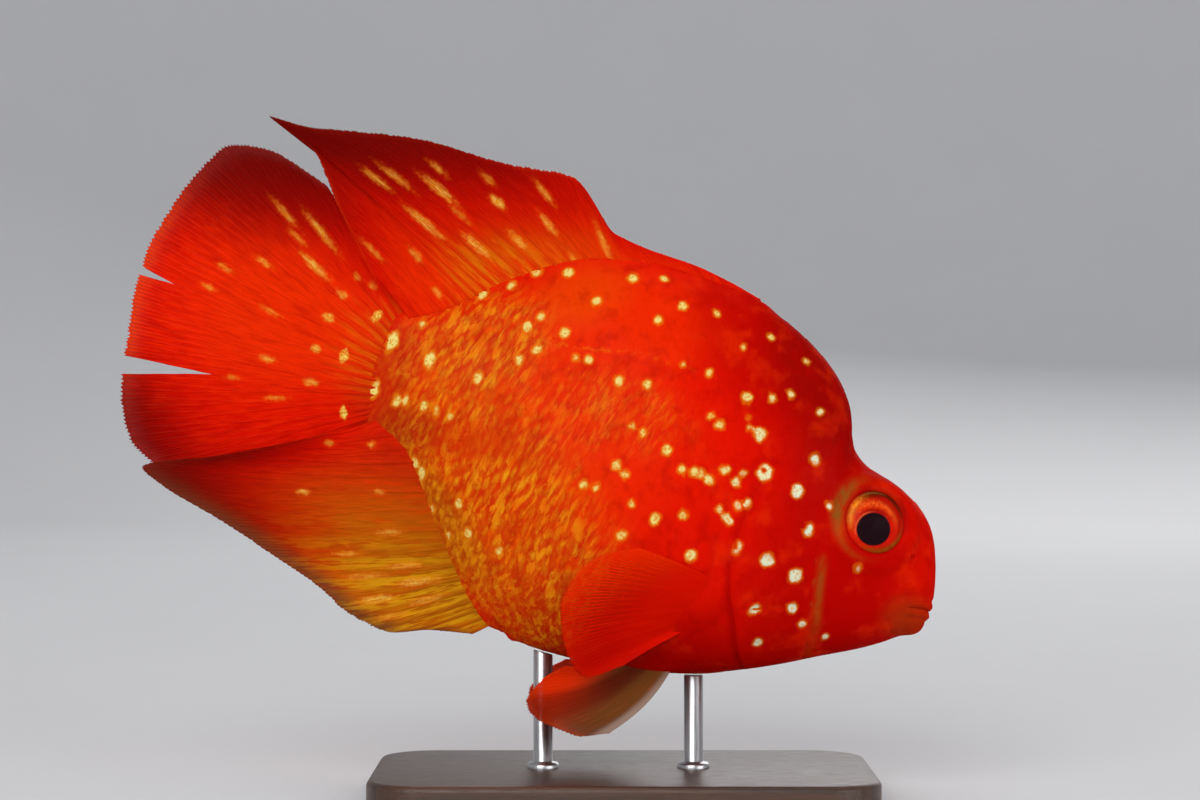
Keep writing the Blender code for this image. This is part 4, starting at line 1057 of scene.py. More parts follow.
def skin_grid(rings, around):
    """The skin's points, ring by ring, with the rings bent so that one follows the gill opening."""
    fine = BODY_LENGTH * (1 - np.cos(np.linspace(0, math.pi, RING_SAMPLES))) / 2
    lines = np.stack([fine, back(fine), belly(fine), half_width(fine)], -1)
    density = np.interp(fine[:-1], *zip(*RING_DENSITY))
    walked = np.concatenate([[0], np.cumsum(np.linalg.norm(np.diff(lines, axis=0), axis=1) * density)])
    plain = np.interp(np.linspace(0, walked[-1], rings + 2)[1:-1], walked, fine)[:, None]
    angle = (np.arange(around) * 2 * math.pi / around)[None, :]
    first, last = GILL_RINGS_BENT
    follow = ease(plain, first, GILL_RING_AT) * (1 - ease(plain, GILL_RING_AT, last))
    s = plain + np.zeros_like(angle)
    for _ in range(4):
        s = plain + follow * (gill_edge(body_point(s, angle)[..., 2]) - GILL_RING_AT)
    return body_point(s, angle)


def grid_faces(rows, columns, wrap=False):
    """Quads between the points of a grid."""
    i, j = np.meshgrid(np.arange(rows - 1), np.arange(columns if wrap else columns - 1), indexing="ij")
    here, right = i * columns + j, i * columns + (j + 1) % columns
    return np.stack([here, right, right + columns, here + columns], -1).reshape(-1, 4)


def closed_faces(rows, columns):
    """Faces of a grid that wraps round, with a fan to each of the two end points that follow its own."""
    faces = grid_faces(rows, columns, wrap=True).tolist()
    last = (rows - 1) * columns
    for j in range(columns):
        following = (j + 1) % columns
        faces.append((rows * columns, following, j))
        faces.append((rows * columns + 1, last + j, last + following))
    return faces


def faced_along(faces, points, way):
    """The faces, all turned over if the first of them faces against a vector."""
    a, b, c = (points[corner] for corner in faces[0][:3])
    return [face[::-1] for face in faces] if np.cross(b - a, c - a) @ way < 0 else faces


def outwards_of(points):
    """Rough outward directions from the middle of the body."""
    s, y, w = np.moveaxis(points, -1, 0)
    return np.stack([np.zeros_like(s), y, w - widest_level(s)], -1)


class MakeSkin(bpy.types.Operator):
    """One skin over the head, jaw, gill covers, trunk and tail stalk"""

    bl_idname = "cichlid.skin"
    bl_label = "Skin"

    def execute(self, context):
        sizes = context.scene.cichlid_sizes
        plain = skin_grid(sizes.rings, sizes.around)
        normals = normals_of(plain, outwards_of(plain), wrap=True)
        grid = seat_eyes(plain + normals * skin_relief(plain)[..., None])
        # The front end point lies back in the mouth's slit
        snout, tail = body_point(0.0, 0.0), body_point(BODY_LENGTH, 0.0)
        snout[0] += MOUTH_DEPTH
        points = np.vstack([grid.reshape(-1, 3), snout, tail])
        faces = closed_faces(*grid.shape[:2])
        nodes = ("head", "lower_jaw", "gill_cover_left", "gill_cover_right", "torso", "tail_stalk")
        skin = new_piece("fish_skin", points, faces, flesh_surface("wet_skin"), nodes)
        put(skin, Streak=np.zeros(len(points)), **flesh_fields(points))
        return {"FINISHED"}


def arc_table():
    """Stations, distances up from the widest line, and the angle on the left side for each pair of them."""
    stations = np.linspace(14.0, BODY_LENGTH - 0.3, ARC_STATIONS)
    angle = np.linspace(-0.5, math.pi + 0.5, ARC_POINTS)
    q = np.arange(-ARC_REACH, ARC_REACH + ARC_STEP, ARC_STEP)
    table = []
    for s in stations:
        ring = body_point(s, np.abs(angle))
        walked = np.concatenate([[0], np.cumsum(np.linalg.norm(np.diff(ring, axis=0), axis=1))])
        walked -= np.interp(math.pi / 2, angle, walked)
        table.append(np.interp(-q, walked, angle))
    return stations, q, np.array(table)


def look_up(stations, q, table, s, at):
    """The table's value between its stations and distances."""
    i = np.clip((s - stations[0]) / (stations[1] - stations[0]), 0, len(stations) - 1.001)
    j = np.clip((at - q[0]) / (q[1] - q[0]), 0, len(q) - 1.001)
    a, b = i.astype(int), j.astype(int)
    u, v = i - a, j - b
    return ((1 - u) * (1 - v) * table[a, b] + u * (1 - v) * table[a + 1, b]
            + (1 - u) * v * table[a, b + 1] + u * v * table[a + 1, b + 1])


def scale_form():
    """One scale as a closed plate: places back (0 to 1) and across (-1 to 1), depth shares, and faces."""
    lengthwise = [0, 0.2, 0.4, 0.6, 0.76, 0.88, 0.96, 1.0]
    crosswise = [-1, -0.86, -0.6, -0.3, 0, 0.3, 0.6, 0.86, 1]
    u, v = [grid.ravel() for grid in np.meshgrid(lengthwise, crosswise, indexing="ij")]
    rows, columns = len(lengthwise), len(crosswise)
    rim = list(range(columns)) + [i * columns + columns - 1 for i in range(1, rows)]
    rim += [(rows - 1) * columns + j for j in range(columns - 2, -1, -1)]
    rim += [i * columns for i in range(rows - 2, 0, -1)]
    count = rows * columns
    top = [tuple(face) for face in grid_faces(rows, columns)]
    sides, floor = [], []
    for k, corner in enumerate(rim):
        following = (k + 1) % len(rim)
        sides.append((rim[following], corner, count + k, count + following))
        floor.append((count + following, count + k, count + len(rim)))
    u, v = np.concatenate([u, u[rim], [0.5]]), np.concatenate([v, v[rim], [0.0]])
    under = np.concatenate([np.zeros(count), np.ones(len(rim)), [1.6]])
    return u, v, under, top + sides + floor


def over_back(s, angle):
    """Points of the plain body's left side, at angles that may run a little over the back to the right."""
    points = body_point(s, np.abs(angle))
    points[..., 1] *= np.where(angle < 0, -1.0, 1.0)
    return points


def scale_roots(arcs):
    """Roots of one side's scales in alternate rows: stations and distances, and their cover and angles."""
    fine = np.linspace(*SCALES_SPAN, 2000)
    columns = np.concatenate([[0], np.cumsum(np.diff(fine) / np.interp(fine[:-1], *zip(*SCALE_PITCH)))])
    roots = []
    for k in range(int(columns[-1] * 2)):
        s = np.interp(k / 2, columns, fine)
        row = np.interp(s, *zip(*SCALE_ROW))
        j = np.arange(-SCALE_ROWS, SCALE_ROWS + 1)
        j = j[(j + k) % 2 == 0]
        roots.append(np.stack([np.full(len(j), s), j * row], -1))
    roots = np.vstack(roots)
    angle = look_up(*arcs, roots[:, 0], roots[:, 1])
    place = body_point(roots[:, 0], np.clip(angle, 0, math.pi))
    cover = scaly(place[:, 0] + TO_SCALE_MIDDLE, place[:, 2])
    tip = scaly(place[:, 0] + TO_SCALE_TIP, place[:, 2])
    keep = (angle > 0.02) & (angle < math.pi - 0.02) & (cover > 0.08) & ((tip > 0.04) | (cover > 0.6))
    # None lies across the free edge of the gill cover
    past_gill = place[:, 0] - gill_edge(place[:, 2])
    beyond_gill = np.abs(place[:, 2] - sum(GILL_SPAN) / 2) > BARE_GILL_HALF
    keep &= (past_gill < BARE_GILL[0]) | (past_gill > BARE_GILL[1]) | beyond_gill
    return roots[keep], cover[keep], angle[keep]


class MakeScales(bpy.types.Operator):
    """Overlapping scales of the trunk, nape and gill covers, each a thin closed plate with its edge lifted"""

    bl_idname = "cichlid.scales"
    bl_label = "Scales"

    def execute(self, context):
        chance = np.random.default_rng(SCALE_SEED)
        lift = context.scene.cichlid_sizes.scale_lift
        material = flesh_surface("wet_scales")
        arcs, form = arc_table(), scale_form()
        roots, cover, angle = scale_roots(arcs)
        for side_name, side in SIDES:
            for part, low, high in SCALE_PARTS:
                here = (roots[:, 0] >= low) & (roots[:, 0] < high)
                vary = chance.normal(0.0, 1.0, (5, np.count_nonzero(here), 1))
                plain, points = self.plates(roots[here], cover[here], vary, lift, arcs, form)
                plain[..., 1] *= side
                points[..., 1] *= side
                name = f"scales_{side_name}_{part}"
                piece = new_piece(name, points.reshape(-1, 3), self.faces(form, len(points), side), material)
                piece.data.set_sharp_from_angle(angle=math.radians(35))
                put(piece, Streak=self.streaks(form, vary), **flesh_fields(plain.reshape(-1, 3)))
                u, v = form[:2]
                round_body = 0.5 + side * angle[here] / (2 * math.pi)
                home = np.stack([roots[here, 0] / BODY_LENGTH, round_body], -1)
                patch = np.stack([u - 0.5, v / 2], -1) * BAKE_PATCH
                put_map(piece, "OFBake", (home[:, None] + patch[None]).reshape(-1, 2))
        return {"FINISHED"}

    def plates(self, roots, cover, vary, lift, arcs, form):
        """Points of the plain body under the left side's scales, and the scales' own points over them."""
        u, v, under = form[:3]
        s0, q0 = roots.T[..., None]
        cover = cover[:, None]
        pitch = np.interp(s0, *zip(*SCALE_PITCH))
        row = np.interp(s0, *zip(*SCALE_ROW))
        turned = 0.05 * vary[0]
        length = pitch * (1.72 + 0.05 * vary[1])
        half = row * (1.12 + 0.03 * vary[2])
        inset = 1 - 0.03 * (under > 0)
        rounded = 1 - 0.24 * (1 - np.sqrt(1 - 0.985 * v * v))
        x = length * u * rounded * inset
        y = half * v * (0.86 + 0.14 * np.sin(math.pi * np.clip(0.08 + 0.84 * u, 0, 1))) * inset
        s = s0 + x - turned * y
        slide = np.interp(s, *zip(*SCALE_ROW)) / row
        at = look_up(*arcs, s, q0 * slide + y + turned * x)
        s = np.clip(s, 0, BODY_LENGTH - 0.4)
        plain = over_back(s, at)
        ahead, beside = over_back(s + NORMAL_STEP, at), over_back(s, at + NORMAL_STEP)
        normal = unit(np.cross(ahead - plain, beside - plain))
        normal *= np.sign(np.sum(normal * outwards_of(plain), axis=-1, keepdims=True))
        raised = skin_relief(plain) + COAT_DEPTH * scaly(plain[..., 0], plain[..., 2])
        rise = lift * (1 + 0.08 * vary[3]) * u**0.9 - 0.07 - 0.03 * v * v - 0.02 * (u > 0.97)
        height = raised + rise * cover - 0.1 * (1 - cover) * (u < 0.5) - 0.085 * under * (0.4 + 0.6 * cover)
        return plain, plain + normal * height[..., None]

    def faces(self, form, count, side):
        """Faces of all the scales of a piece: the quads, then the triangles."""
        u, _, _, faces = form
        if side < 0:
            faces = [face[::-1] for face in faces]
        offset = (np.arange(count) * len(u))[:, None, None]
        every = []
        for corners in (4, 3):
            alike = np.array([face for face in faces if len(face) == corners])
            every += (alike[None] + offset).reshape(-1, corners).tolist()
        return every

    def streaks(self, form, vary):
        """A streak of gold across each scale, a little before its free edge."""
        u, v = form[:2]
        streak = bump(u + 0.14 * v, 0.76, 0.06) * (1 - ease(np.abs(v), 0.6, 0.95))
        return (streak * np.clip(0.7 + 0.4 * vary[4], 0.1, 1.1)).ravel()


def stalk_lean(s):
    """How far the roots of the dorsal and anal fins lean to the right on the thin tail stalk."""
    return -STALK_LEAN * ease(s, LEAN_FROM, LEAN_TO)


def sheet_faces(columns, rows):
    """Faces of a closed sheet: two grids of points, one after the other, and a wall round their edge."""
    top = grid_faces(columns, rows)
    count = columns * rows
    across, along = np.arange(columns), np.arange(rows)
    loop = np.concatenate([along, across[1:] * rows + rows - 1, (columns - 1) * rows + along[-2::-1],
                           across[-2:0:-1] * rows])
    following = np.roll(loop, -1)
    wall = np.stack([loop, loop + count, following + count, following], -1)
    return np.vstack([top, top[:, ::-1] + count, wall]).tolist()


@dataclass
class Fin:
    """A fin's plan: its control rays, each a root and a tip, and how it is divided, curved and coloured."""

    kind: str
    name: str
    rays: list
    # Rays, points across from one ray to the next, and points along a ray
    count: int
    columns: int
    rows: int
    # How many front rays don't branch, and splits as (ray, depth, width)
    spines: int = 0
    splits: tuple = ()
    # Curves: of the rays in the fin's plane and from side to side, in mm, and how late a ray leans outwards
    bow: float = 0.0
    ripple: float = 0.0
    flare: float = 1.3
    # The rays' thickness, and the thickening and reach of the fleshy root
    stout: float = 1.0
    swell: tuple = (1.1, 3.2)
    # How clear the edge is, and from where to where along the fin. Then the strength of the fringe of light,
    # of the rays and of the glow, and the colour under all others
    clear: float = 0.1
    thin: tuple = (0.86, 1.0)
    fringe: float = 1.0
    bold: float = 1.0
    glow: float = 0.5
    base: str = "scarlet"

    def branches(self, across, along, soft, levels=3):
        """The distance from the nearest branch of a ray, in shares of the rays' spacing."""
        off = np.abs((across + 0.5) % 1.0 - 0.5)
        for share, low, high in BRANCHES[:levels]:
            off = np.abs(off - soft * share * ease(along, low, high))
        return off

    def middle(self, comb):
        """The membrane's middle surface, and its points' places across and along, reach and softness."""
        chance = np.random.default_rng(len(self.name) + self.count)
        share = np.linspace(0, 1, len(self.rays))
        across = np.linspace(0, self.count - 1, (self.count - 1) * self.columns + 1)
        place = across / (self.count - 1)
        ends = []
        for end in (0, 1):
            follow = [curve_through(list(zip(share, [ray[end][k] for ray in self.rays]))) for k in range(3)]
            ends.append(np.stack([curve(place) for curve in follow], -1))
        root, tip = ends
        lengths = np.linalg.norm(tip - root, axis=1)
        soft = ease(across, self.spines - 0.5, self.spines + 0.5) if self.spines else np.ones_like(across)
        teeth = ease(self.branches(across, np.ones_like(across), soft), 0.004, 0.034)
        uneven = np.interp(across, np.arange(self.count), chance.normal(0.0, 0.25, self.count))
        frays = np.arange(0, self.count, 0.125)
        uneven += soft * np.interp(across, frays, chance.normal(0.0, 0.4, len(frays)))
        stop = 1 - comb * (teeth * (0.6 + 0.8 * soft) + uneven * 0.6) / lengths
        for ray, depth, width in self.splits:
            stop -= depth * np.clip(1 - np.abs(across - ray) / width, 0, 1) ** 0.8
        b = stop[:, None] * np.linspace(0, 1, self.rows + 1)[None, :] ** 0.9
        reach = (tip - root)[:, None, :]
        points = root[:, None, :] + reach * b[..., None]
        relative = (lengths / lengths.max())[:, None]
        wave = 2 * math.pi * RIPPLE_TURNS * place[:, None] + RIPPLE_TWIST * b
        points[..., 1] = root[:, None, 1] + reach[..., 1] * b**self.flare
        points[..., 1] += self.ripple * b * relative * np.sin(wave)
        direction = reach / lengths[:, None, None]
        arch = self.bow * np.sin(math.pi * b) * relative
        points[..., 0] -= arch * direction[..., 2]
        points[..., 2] += arch * direction[..., 0]
        return points, across[:, None] + 0 * b, b, b * lengths[:, None], soft[:, None] + 0 * b, stop

    def half_thickness(self, points, across, along, reach, soft, stop):
        """Thin between the rays, thicker on them and at the fleshy root, and fine at the edge."""
        spacing = np.linalg.norm(np.gradient(points, axis=0), axis=-1) * self.columns
        off = self.branches(across, along, soft, 2) * spacing
        thin = 1 - 0.72 * along
        ray = np.exp(-(off / (0.13 + 0.10 * thin * self.stout)) ** 2)
        half = 0.05 + 0.05 * thin + 0.20 * self.stout * thin * ray
        domed = np.sqrt(np.clip(1 - (2 * across / (self.count - 1) - 1) ** 2, 0, 1))
        half += self.swell[0] * domed * np.exp(-(reach / self.swell[1]) ** 2)
        return half * (0.35 + 0.65 * ease(stop[:, None] - along, 0.0, 0.02))

    def build(self, material, slot, comb):
        """Makes the fin's piece, with the fields that its material reads."""
        points, across, along, reach, soft, stop = self.middle(comb)
        normal = normals_of(points, np.array([0.0, 1.0, 0.0]))
        out = normal * self.half_thickness(points, across, along, reach, soft, stop)[..., None]
        body = np.vstack([(points + out).reshape(-1, 3), (points - out).reshape(-1, 3)])
        faces = faced_along(sheet_faces(*points.shape[:2]), body, normal[0, 0])
        piece = new_piece(self.name + "_membrane", body, faces, material, (self.name,))
        across, along, reach, soft = [np.tile(field.ravel(), 2) for field in (across, along, reach, soft)]
        place = across / (self.count - 1)
        faded = strongest(place, along, SOFT_PLACES[self.kind])
        clear = np.maximum(self.clear * ease(along, *self.thin), faded)
        flesh, glow = self.colours(place, along), self.glowing(place, along)
        if self.kind in ("dorsal", "caudal"):
            near_root = 0.5 * (1 - ease(reach, ROOT_SUNK + 0.5, ROOT_SUNK + 5.0))
            lay(flesh, near_root, flesh_fields(body)["Flesh"])
        pearl, shine = self.pearls_and_highlights(points)
        put_map(piece, "Lie", np.stack([across, along], -1))
        put(piece, Flesh=flesh, Reach=reach, Soft=soft, Gust=np.full(len(body), 3.7 * self.count), Glow=glow,
            Bold=np.full(len(body), self.bold), Pearl=np.tile(pearl, 2), Shine=np.tile(shine, 2), Clear=clear,
            Fringe=self.fringe * glow / self.glow, Gold=strongest(place, along, GILT_PLACES[self.kind]))

    def glowing(self, across, along):
        """How much orange light the membrane lets through, which is less where it is dark."""
        glow = np.full(len(across), self.glow)
        for name, middle, reach, strength in FIN_ZONES[self.kind]:
            if name in DARK_COLOURS:
                glow *= 1 - 0.85 * strength * zone(across, along, middle, reach)
        return glow

    def colours(self, across, along):
        """The membrane's own colours, laid zone by zone."""
        colours = palette()
        flesh = np.tile(colours[self.base], (len(across), 1))
        for name, middle, reach, strength in FIN_ZONES[self.kind]:
            lay(flesh, strength * zone(across, along, middle, reach), colours[name])
        return flesh

    def pearls_and_highlights(self, points):
        """How far points lie outside the nearest streak, which runs along the rays, and how bright it is:
        pearly streaks, and on the anal fin painted highlights.
        """
        flat = points.reshape(-1, 3)
        nearest, shine = np.full(len(flat), NO_PEARL), np.zeros(len(flat))
        if self.kind not in ("dorsal", "caudal", "anal"):
            return nearest, shine
        size = bpy.context.scene.cichlid_sizes.pearl_size
        pixels = to_picture(flat)
        ways = unit(np.gradient(points, axis=1)).reshape(-1, 3)
        for px, py, width, stretch in FIN_PEARLS_AND_HIGHLIGHTS:
            off = np.hypot(pixels[:, 0] - px, pixels[:, 1] - py)
            home = int(np.argmin(off))
            if off[home] > PEARL_ASTRAY:
                continue
            away = flat - flat[home]
            along = away @ ways[home]
            across = np.linalg.norm(away - along[:, None] * ways[home], axis=1)
            radius = size * width / PICTURE_SCALE / 2
            gap = np.hypot(across, along / stretch) - radius
            closer = gap < nearest
            nearest[closer] = gap[closer]
            shine[closer] = min(1.0, 0.2 + width / 17)
        return nearest, shine


def middle_fins():
    """Plans of the dorsal, anal and caudal fins, with their roots sunk in the body."""
    dorsal = [((s, stalk_lean(s), float(back(s)) - ROOT_SUNK), (ts, ty, tw)) for s, ts, tw, ty in DORSAL]
    anal = [((s, stalk_lean(s), float(belly(s)) + ROOT_SUNK), (ts, ty, tw)) for s, ts, tw, ty in ANAL]
    caudal = [((CAUDAL_ROOT_S, CAUDAL_ROOT_Y, w), (ts, ty, tw)) for w, ts, tw, ty in CAUDAL]
    return [
        Fin("dorsal", "dorsal_fin", dorsal, 25, 20, 40, bow=0.8, ripple=0.35, spines=9, clear=0.05),
        Fin("anal", "anal_fin", anal, 16, 24, 40, bow=-0.8, ripple=0.35, spines=3, clear=0.12, fringe=0.2,
            thin=(0.86, 0.98)),
        Fin("caudal", "caudal_fin", caudal, 17, 30, 48, splits=TAIL_SPLITS, ripple=0.5, clear=0.2,
            swell=(1.75, 7.0)),
    ]


def paired_fins():
    """Plans of the pectoral and pelvic fins of both sides."""
    fins = []
    for name, side in SIDES:
        pectoral = []
        for w, ts, tw, ty in PECTORAL:
            share = (w - PECTORAL[0][0]) / (PECTORAL[-1][0] - PECTORAL[0][0])
            s = PECTORAL_ROOT_S[0] + share * (PECTORAL_ROOT_S[1] - PECTORAL_ROOT_S[0])
            pectoral.append(((s, side * (float(flank(s, w)) - ROOT_SUNK), w), (ts, side * ty, tw)))
        pelvic = [((s, side * PELVIC_ROOT_Y, float(belly(s)) + 1.5 * ROOT_SUNK), (ts, side * ty, tw))
                  for s, ts, tw, ty in PELVIC]
        fins.append(Fin(
            "pectoral", "pectoral_fin_" + name, pectoral, 13, 18, 34, bow=0.5, flare=0.5, clear=0.3,
            fringe=0.3, stout=0.03, bold=0.05, glow=0.25, thin=(0.4, 1.0), swell=(0.5, 2.4)))
        fins.append(Fin(
            "pelvic", "pelvic_fin_" + name, pelvic, 7, 26, 34, bow=-1.6, spines=1, clear=0.12, base="sepia",
            fringe=0.3, stout=0.4, thin=(0.1, 0.6), glow=0.1, bold=0.2, swell=(0.8, 3.0)))
    return fins


class MakeMiddleFins(bpy.types.Operator):
    """Dorsal, anal and caudal fins: thin membranes on rays that branch towards a combed edge"""

    bl_idname = "cichlid.middle_fins"
    bl_label = "Middle fins"

    def execute(self, context):
        material = fin_surface("fin_membrane")
        for fin in middle_fins():
            fin.build(material, fin.name, context.scene.cichlid_sizes.comb_depth)
        return {"FINISHED"}


class MakePairedFins(bpy.types.Operator):
    """Pectoral and pelvic fins of both sides"""

    bl_idname = "cichlid.paired_fins"
    bl_label = "Paired fins"

    def execute(self, context):
        material = fin_surface("paired_fin_membrane")
        for fin in paired_fins():
            fin.build(material, fin.kind + "_fin", context.scene.cichlid_sizes.comb_depth * 0.6)
        return {"FINISHED"}


def closed_disc(name, outline, side, material):
    """A form turned about an eye's axis, from (radius, height) pairs, and closed by a point at each end."""
    middle, backwards, upwards, outwards = axes = eye_frame(side)
    angle = np.arange(EYE_AROUND) * 2 * math.pi / EYE_AROUND
    radius, height = np.array(outline, float).T
    ring = np.cos(angle)[None, :, None] * backwards + np.sin(angle)[None, :, None] * upwards
    points = middle + radius[1:-1, None, None] * ring + height[1:-1, None, None] * outwards
    body = np.vstack([points.reshape(-1, 3), middle + height[0] * outwards, middle + height[-1] * outwards])
    faces = faced_along(closed_faces(len(points), EYE_AROUND), body, body[0] - middle)
    return new_piece(name, body, faces, material), body, axes


def iris_fields(body, axes):
    """Paint of the eyeball: black pupil, red iris, a golden crescent above and behind, and a dark rim of
    painted shadow over its top and front.
    """
    colours = palette("cichlid_eyes")
    middle, backwards, upwards, _ = axes
    x, y = (body - middle) @ backwards, (body - middle) @ upwards
    level, plumb = -x * math.cos(DIP) + y * math.sin(DIP), x * math.sin(DIP) + y * math.cos(DIP)
    pupil_level, pupil_plumb = level - PUPIL_AT[0], plumb - PUPIL_AT[1]
    in_pupil = np.hypot(pupil_level / PUPIL_RADII[0], pupil_plumb / PUPIL_RADII[1])
    from_pupil, from_middle = np.hypot(pupil_level, pupil_plumb), np.hypot(level, plumb)
    way = np.degrees(np.arctan2(pupil_plumb, pupil_level))
    rim_way = np.degrees(np.arctan2(plumb, level))
    paint = np.tile(colours["iris"], (len(body), 1))

    def towards(angle, middle_way, reach):
        return np.exp(-(((angle - middle_way + 180) % 360 - 180) / reach) ** 4)

    lay(paint, 0.7 * ease(from_pupil, 3.9, 4.4), colours["deep"])
    lay(paint, 0.85 * bump(from_pupil, 2.85, 0.45) * towards(way, 85, 50), colours["shadow"])
    band = bump(from_pupil, 3.95, 0.5) * towards(way, 80, 62)
    lay(paint, 0.9 * band, colours["ember"])
    crescent = bump(from_middle, 4.2, 0.42) * towards(rim_way, 152, 40)
    lay(paint, crescent, colours["crescent"])
    # Painted shadow of the orbit's rim over the top and front of the eyeball, and an olive line in it
    arc = np.maximum(ease(from_middle, 3.95, 4.35) * towards(rim_way, 66, 58),
                     0.85 * ease(from_middle, 3.55, 4.1) * towards(rim_way, 97, 25))
    lay(paint, 0.95 * arc, colours["lid"])
    lay(paint, 0.55 * bump(from_middle, 4.5, 0.14) * towards(rim_way, 98, 26), colours["lid_edge"])
    lay(paint, 0.9 * ease(from_middle, 3.85, 4.35) * towards(rim_way, -68, 50), colours["lower_rim"])
    lay(paint, 0.85 * bump(in_pupil, 1.05, 0.035) * towards(way, 150, 50), colours["pupil_ring"])
    pupil = 1 - ease(in_pupil, 0.97, 1.015)
    lay(paint, pupil, colours["pupil"])
    return {"Flesh": paint, "Gold": np.clip(crescent + 0.55 * band, 0, 1) * (1 - pupil), "Line": 1 - pupil}


class MakeEyes(bpy.types.Operator):
    """Both eyes: a painted eyeball with a domed pupil under a clear cornea"""

    bl_idname = "cichlid.eyes"
    bl_label = "Eyes"

    def execute(self, context):
        painted, clear = eye_surface(), cornea_surface()
        turned = np.linspace(0, math.pi, EYE_ROWS)
        radius, height = EYE_RADIUS * np.sin(turned), EYE_HALF_DEPTH * np.cos(turned)
        height -= np.where(height > 0, IRIS_SUNK * (1 - ease(radius, 4.1, 4.7)), 0.0)
        dome = [(CORNEA_RADIUS * t, CORNEA_FOOT + CORNEA_RISE * (1 - t * t)) for t in np.linspace(0, 1, 40)]
        for name, side in SIDES:
            ball, body, axes = closed_disc("eyeball_" + name, list(zip(radius, height)), side, painted)
            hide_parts("eye_" + name)
            put(ball, **iris_fields(body, axes))
            closed_disc("cornea_" + name, dome + CORNEA_UNDERSIDE, side, clear)
        return {"FINISHED"}


def box_of(node):
    low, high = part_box(node)
    return np.array(low), np.array(high)


def plain_piece(name, bm, material, node):
    """A piece from a bmesh in world metres that stands for a solid of its own."""
    mesh = bpy.data.meshes.new(name)
    bm.to_mesh(mesh)
    bm.free()
    mesh.shade_smooth()
    mesh.set_sharp_from_angle(angle=math.radians(50))
    mesh.materials.append(material)
    piece = bpy.data.objects.new(name, mesh)
    bpy.context.scene.collection.objects.link(piece)
    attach(piece, "root")
    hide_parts(node)
    return piece


def belly_above(x, heights):
    """The first of some heights above x, in world mm, that lies in the body's middle plane."""
    s, w = from_world(x, heights)
    return heights[np.nonzero((s > 0) & (s < BODY_LENGTH) & (w > belly(s)))[0][0]]


class MakeStand(bpy.types.Operator):
    """Wooden base with rounded edges, and two steel rods with collars up to the belly"""

    bl_idname = "cichlid.stand"
    bl_label = "Stand"

    def execute(self, context):
        looks = context.scene.cichlid_stand
        wood, steel = wood_surface(np.array(looks.wood)), steel_surface(np.array(looks.steel))
        low, high = box_of("stand_base")
        bm = bmesh.new()
        bmesh.ops.create_cube(bm, size=1.0)
        middle, size = (low + high) / 2, high - low
        place = Matrix.Translation(Vector(middle)) @ Matrix.Diagonal((*size, 1.0))
        bmesh.ops.transform(bm, matrix=place, verts=bm.verts)
        upright = [e for e in bm.edges if abs(e.verts[0].co.z - e.verts[1].co.z) > 0.5 * size[2]]
        bmesh.ops.bevel(bm, geom=upright, offset=BASE_CORNER * MM, segments=16, profile=0.5, affect="EDGES")
        top = [e for e in bm.edges if min(v.co.z for v in e.verts) > high[2] - 1e-5]
        bmesh.ops.bevel(bm, geom=top, offset=looks.bevel * MM, segments=5, profile=0.5, affect="EDGES")
        base = plain_piece("wooden_base", bm, wood, "stand_base")
        for node in ("stand_rod_front", "stand_rod_rear"):
            self.rod(node, steel, high[2])
        return {"FINISHED"}

    def rod(self, node, steel, level):
        """A rod from inside the base up to the belly, its top cut to the belly's slope, with a collar."""
        low, high = box_of(node)
        middle, radius = (low + high) / 2, (high[0] - low[0]) / 2
        heights = np.linspace(level / MM, high[2] / MM + 3, 600)
        rings = [(share * radius + extra * MM, level + height * MM, 0.0) for share, extra, height in COLLAR]
        rings += [(share * radius, None, depth) for share, depth in ROD_TOP]
        bm = bmesh.new()
        loops = []
        for ring_radius, height, depth in rings:
            loop = []
            for k in range(ROD_SIDES):
                turned = 2 * math.pi * k / ROD_SIDES
                x, y = middle[0] + ring_radius * math.cos(turned), middle[1] + ring_radius * math.sin(turned)
                z = (belly_above(x / MM, heights) - depth) * MM if height is None else height
                loop.append(bm.verts.new((x, y, z)))
            loops.append(loop)
        for below, above in zip(loops, loops[1:]):
            for k in range(ROD_SIDES):
                following = (k + 1) % ROD_SIDES
                bm.faces.new((below[k], below[following], above[following], above[k]))
        bm.faces.new(loops[0][::-1])
        bm.faces.new(loops[-1])
        plain_piece(node.replace("stand_rod", "steel_rod"), bm, steel, node)


